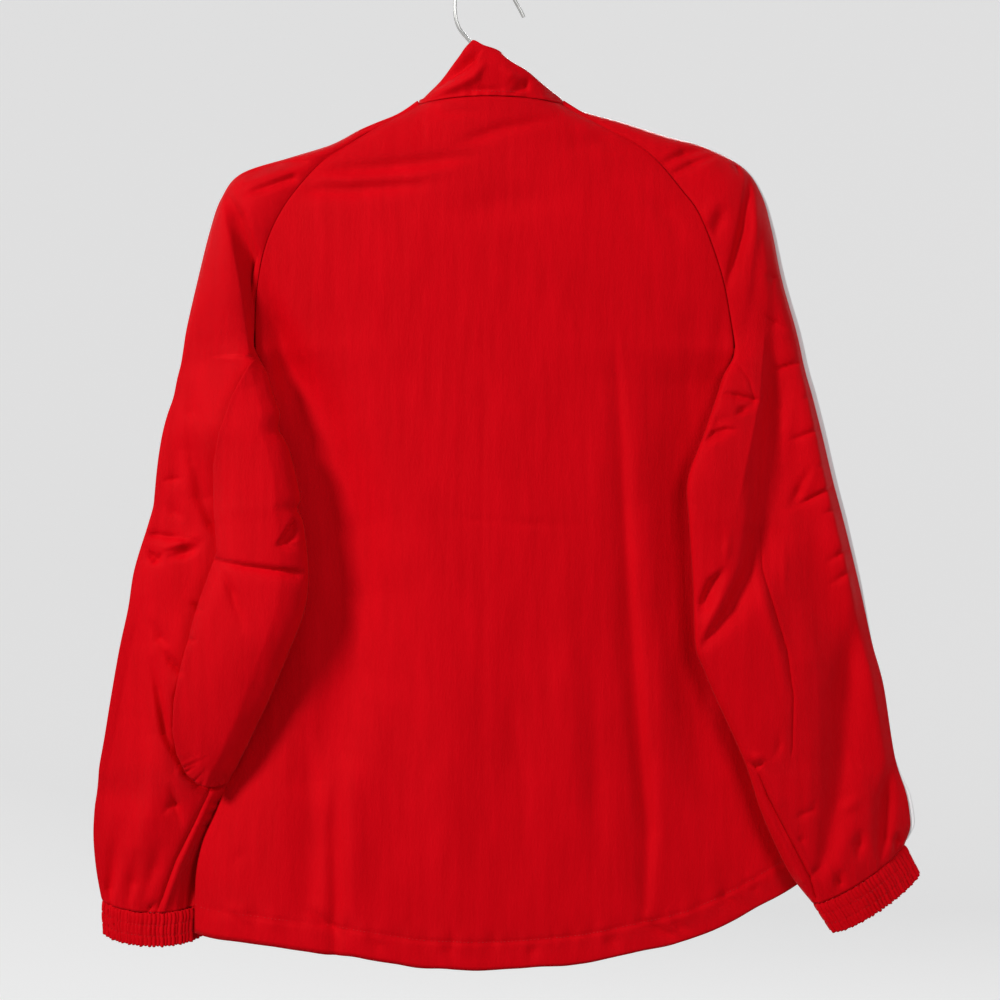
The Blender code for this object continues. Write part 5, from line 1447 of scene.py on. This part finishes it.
def build_teeth():
    teeth = bmesh.new()
    count = int((zip_run[-1] * 0.985 - 6) / TOOTH_PITCH)
    for k in range(2 * count):
        sign = -1 if k % 2 else 1
        drop, y = on_zip(4 + k * TOOTH_PITCH / 2)
        above_drop, above_y = on_zip(4 + (k + 1) * TOOTH_PITCH / 2)
        tooth = bmesh.ops.create_cube(teeth, size=1.0)["verts"]
        bmesh.ops.scale(teeth, verts=tooth, vec=[measure * MM for measure in TOOTH])
        lean = math.atan2(above_y - y, drop - above_drop)
        bmesh.ops.rotate(teeth, verts=tooth, cent=(0, 0, 0),
                         matrix=Vector((0, math.cos(lean), math.sin(lean))).to_track_quat(
                             "Y", "Z").to_matrix())
        bmesh.ops.translate(teeth, verts=tooth,
                            vec=place(ZIP_X + sign * TOOTH_SHIFT, drop, y - ZIP_SET))
    bmesh.ops.bevel(teeth, geom=teeth.edges[:], offset=TOOTH_BEVEL * MM, segments=1, profile=0.5,
                    affect="EDGES", material=-1)
    print("zip teeth:", 2 * count)
    dress(link("zip_teeth", teeth, zip_plastic), "zip_chain")


def smooth_solid(name, colour, roughness, metallic, speck, depth):
    """A moulded or metal finish: faint specks and rubbed spots over one colour."""
    made = bpy.data.materials.new(name)
    tree, shader, add = nodes_of(made)
    where = add("ShaderNodeTexCoord").outputs["Object"]
    rubbed = noise_node(add, where, speck, 4)
    fine = noise_node(add, where, speck * 6, 2)
    two_tones(shader, tree, add, rubbed, (0.35, 0.65), [c * 0.88 for c in colour], colour)
    rougher(shader, tree, add, rubbed, roughness - 0.06, roughness + 0.08)
    bump = add("ShaderNodeBump", {"Height": fine, "Distance": depth})
    tree.links.new(bump.outputs[0], shader.inputs["Normal"])
    shader.inputs["Metallic"].default_value = metallic
    print("material", name)
    return made


zip_plastic = smooth_solid("zip teeth nylon", (0.56, 0.001, 0.006), 0.35, 0.0, 260, 0.00004)
slider_metal = smooth_solid("painted slider", (0.5, 0.002, 0.008), 0.3, 0.0, 380, 0.00005)
wire_metal = smooth_solid("zinc wire", (0.42, 0.42, 0.41), 0.3, 1.0, 240, 0.00005)
build_teeth()
for node in ("zip_slider", "zip_tab"):
    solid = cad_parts[node]
    solid.data.materials.clear()
    solid.data.materials.append(slider_metal)
print("slider and tab keep their CAD shape")

# %% [markdown]
# ## Hanger
#
# The hanger is one length of zinc-plated wire: the hook, a short stem, the two shoulders and the
# bottom bar, wound twice round the stem. A curve with a round bevel is the plainest way to make
# wire. Only the hook shows from behind.

# %% Hanger
WIRE = 3.0
HOOK_RADIUS = 21.5
HANGER_HALF, SHOULDER_TOP, HANGER_DEPTH = 196.0, 98.0, 19.0
LEFT_SLOPE, RIGHT_SLOPE = 0.395, 0.32
WIND, WIND_PITCH = 3.8, 3.8     # radius and pitch of the winding round the stem
WINDINGS, WIND_STEPS = 2, 20    # its turns, and the points in a turn
HOOK_TIP = [(26.9, 42.0, 0), (24.0, 36.4, 0), (21.3, 31.6, 0)]
HOOK_FROM, HOOK_TO, HOOK_STEPS = 29, 180, 40        # the hook's arc in degrees
BEND_RADIUS = 6.0
BENDS = [(-28.0, 34.0), (-27.4, 42.0), (-25.4, 49.0), (-22.0, 54.5), (-14.5, 63.0),
         (-7.0, 71.5), (-2.2, 78.0), (0.0, 84.0), (0.0, 90.0)]     # of the stem: x and drop


def rounded(points, radius, steps=8):
    """A run of straight wire with its corners rounded."""
    result = [points[0]]
    for before, corner, after in zip(points, points[1:], points[2:]):
        b, c, a = Vector(before), Vector(corner), Vector(after)
        start, end = c + (b - c).normalized() * radius, c + (a - c).normalized() * radius
        for k in range(steps + 1):
            t = k / steps
            result.append(tuple(start.lerp(c, t).lerp(c.lerp(end, t), t)))
    return result + [points[-1]]


def build_hanger():
    middle = SEAT_DROP + HOOK_RADIUS - WIRE / 2
    hook = list(HOOK_TIP)
    for k in range(HOOK_STEPS + 1):
        angle = math.radians(mix(HOOK_FROM, HOOK_TO, k / HOOK_STEPS))
        hook.append((SEAT_X + HOOK_RADIUS * math.cos(angle),
                     middle - HOOK_RADIUS * math.sin(angle), 0))
    stem = [(*(curve_at(line, k / 4) for line in zip(*BENDS)), 0)
            for k in range(4 * (len(BENDS) - 1) + 1)]
    left_low = SHOULDER_TOP + LEFT_SLOPE * HANGER_HALF
    right_low = SHOULDER_TOP + RIGHT_SLOPE * HANGER_HALF
    shape = rounded([(0, 91, 0), (0, SHOULDER_TOP, 0), (-HANGER_HALF, left_low, 0),
                     (-HANGER_HALF + 4, left_low + HANGER_DEPTH, 0),
                     (HANGER_HALF - 4, right_low + HANGER_DEPTH, 0),
                     (HANGER_HALF, right_low, 0), (WIND, SHOULDER_TOP - 1.0, 0)], BEND_RADIUS)
    wind = []
    for k in range(1, WIND_STEPS * WINDINGS + 1):
        angle = 2 * math.pi * k / WIND_STEPS
        wind.append((WIND * math.cos(angle), SHOULDER_TOP - 1.0 - WIND_PITCH * k / WIND_STEPS,
                     WIND * math.sin(angle)))
    route = [place(*point) for point in hook + stem + shape + wind]
    wire = bpy.data.curves.new("hanger_wire", "CURVE")
    wire.dimensions = "3D"
    wire.bevel_depth = WIRE / 2 * MM
    wire.bevel_resolution = 5
    wire.use_fill_caps = True
    spline = wire.splines.new("POLY")
    spline.points.add(len(route) - 1)
    for point, where in zip(spline.points, route):
        point.co = (*where, 1.0)
    spline.use_smooth = True
    wire.materials.append(wire_metal)
    piece = bpy.data.objects.new("hanger_wire", wire)
    bpy.context.scene.collection.objects.link(piece)
    dress(piece, "hanger")
    length = sum((b - a).length for a, b in zip(route, route[1:]))
    print("hanger wire", round(length, 2), "m")


build_hanger()

# %% [markdown]
# ## Stitches
#
# The seams that are stitched through show a row of short threads: one along the hem, one round
# the collar's foot, one beside each edge of the zip and two round each cuff. One stitch is an
# octahedron pulled out along its line, sunk a little into the cloth. The rows follow the
# finished panels, so they rise and fall with the puckers.

# %% One row of stitches
STITCH, STITCH_PITCH, THREAD = 2.1, 3.0, 0.42
NEIGHBOUR = 0.6         # along the line, to find its direction
STITCH_FACES = [(0, 2, 4), (0, 4, 3), (0, 3, 5), (0, 5, 2), (1, 4, 2), (1, 3, 4), (1, 5, 3),
                (1, 2, 5)]


def stitched(name, on, line, faces_out):
    """Stitches along a line of points; faces_out is the way out of the cloth at each point."""
    line, outs = np.asarray(line, float), np.asarray(faces_out, float)
    run = np.concatenate(([0.0], np.cumsum(np.linalg.norm(np.diff(line, axis=0), axis=1))))
    marks = np.arange(STITCH_PITCH / 2, run[-1], STITCH_PITCH)

    def read(track, at):
        return np.array([np.interp(at, run, column) for column in track.T]).T

    before, middle, after = (read(line, marks + shift) for shift in (-NEIGHBOUR, 0, NEIGHBOUR))
    out = read(outs, marks)
    threads = bmesh.new()
    for a, point, b, way in zip(before, middle, after, out):
        ahead = (b - a) / max(np.linalg.norm(b - a), 1e-6)
        way = way / np.linalg.norm(way)
        side = np.cross(ahead, way)
        centre = point + way * THREAD * 0.35
        corners = [threads.verts.new(place(*(centre + step)))
                   for step in (ahead * STITCH / 2, -ahead * STITCH / 2, side * THREAD / 2,
                                -side * THREAD / 2, way * THREAD / 2, -way * THREAD / 2)]
        for face in STITCH_FACES:
            threads.faces.new([corners[k] for k in face])
    bmesh.ops.recalc_face_normals(threads, faces=threads.faces)
    print(f"{name}: {len(marks)} stitches on {on}")
    return dress(link(name, threads, thread_red))


thread_red = smooth_solid("sewing thread", (0.6, 0.001, 0.006), 0.5, 0.0, 900, 0.00002)

# %% Where the rows run
ROW_POINTS = 500
HEM_POINTS = 400
AWAY = (0.0, 0.0, 1.0)


def hem_row(face, start, end, creases, seed):
    """Points on the stitched line of the hem, and the way out of the cloth."""
    us = np.linspace(start, end, HEM_POINTS)
    ats = np.linspace(1.8, 2.0, 60)
    edge = body(2, us, face)[1]
    rows = [float(np.interp(e - HEM_STITCH, body(ats, u, face)[1], ats)) for u, e in zip(us, edge)]
    x, drop, y = body_panel(np.array(rows), us, face, creases, seed)
    line = np.array([x, drop, y + face * WALL / 2]).T
    return line, np.tile(AWAY, (len(line), 1)) * face


def cuff_row(side, row):
    """Points on a stitched ring of a cuff, just clear of the ribs, and the way out."""
    ring, centre, onward = end_ring(side, RIBS * RIB_STEPS)
    out = ring - centre
    away = out / np.linalg.norm(out, axis=1)[:, None]
    height = 0.5 * RIB_HEIGHT * rib_rise(side, np.linspace(0, 1, len(ring)) % 1, row)
    clear = height - 0.2 + WALL / 2
    points = centre + out * mix(CUFF_TOP, CUFF_END, row) + away * clear[:, None]
    return points + onward * mix(CUFF_LAP, CUFF_LENGTH, row), away


def zip_row(sign):
    """Points on a front beside the zip, and the way out of the cloth."""
    ats = np.linspace(0.02, 1.97, ROW_POINTS)
    us = np.array([zip_share(at, sign * (ZIP_OPENING + 1.6)) for at in ats])
    x, drop, y = body_panel(ats, us, 1, FRONT_CREASES, FRONT_SEED + sign)
    line = np.array([x, drop, y + zip_ripple(x, drop, sign) + WALL / 2]).T
    return line, np.tile(AWAY, (len(line), 1))


def collar_row():
    """Points round the collar's foot, and the way out of the cloth."""
    turns = np.linspace(0.015, 0.985, ROW_POINTS)
    x, drop, y = collar(turns, np.full_like(turns, 0.1))
    creased, gathered = collar_press(x, drop, y)
    line = np.array([x, drop, y + 0.6 * creased + 0.8 * gathered]).T
    out = line - (NECK_X, 0, 0)
    out[:, 1] = 0
    out /= np.linalg.norm(out, axis=1)[:, None]
    return line + out * COLLAR_WALL / 2, out


print("a hem's row has", HEM_POINTS, "points, a row beside the zip", ROW_POINTS)

# %% Sew the rows
HEMS = (("back", "the back's hem", -1, 0.01, 0.99, BACK_CREASES, BACK_SEED),
        ("left", "the left front's hem", 1, 0.01, 0.47, FRONT_CREASES, FRONT_SEED - 1),
        ("right", "the right front's hem", 1, 0.53, 0.99, FRONT_CREASES, FRONT_SEED + 1))
sewn = {("hem", name): stitched(f"hem_stitches_{name}", on, *hem_row(*where))
        for name, on, *where in HEMS}
sewn["collar"] = stitched("collar_stitches", "the collar's foot", *collar_row())
for side, name in NAMES.items():
    sewn["zip", name] = stitched(f"zip_stitches_{name}", "the edge of the zip", *zip_row(side))
    sewn["cuff", name] = [stitched(f"cuff_stitches_{name}_{k}", "a cuff", *cuff_row(side, row))
                          for k, row in enumerate(CUFF_SEWN, 1)]

# %% [markdown]
# ## How each piece is held
#
# Nothing here lies on anything: every panel hangs from its seams, and only the cuffs are drawn
# in.

# %% The end


print("every sheet is declared")
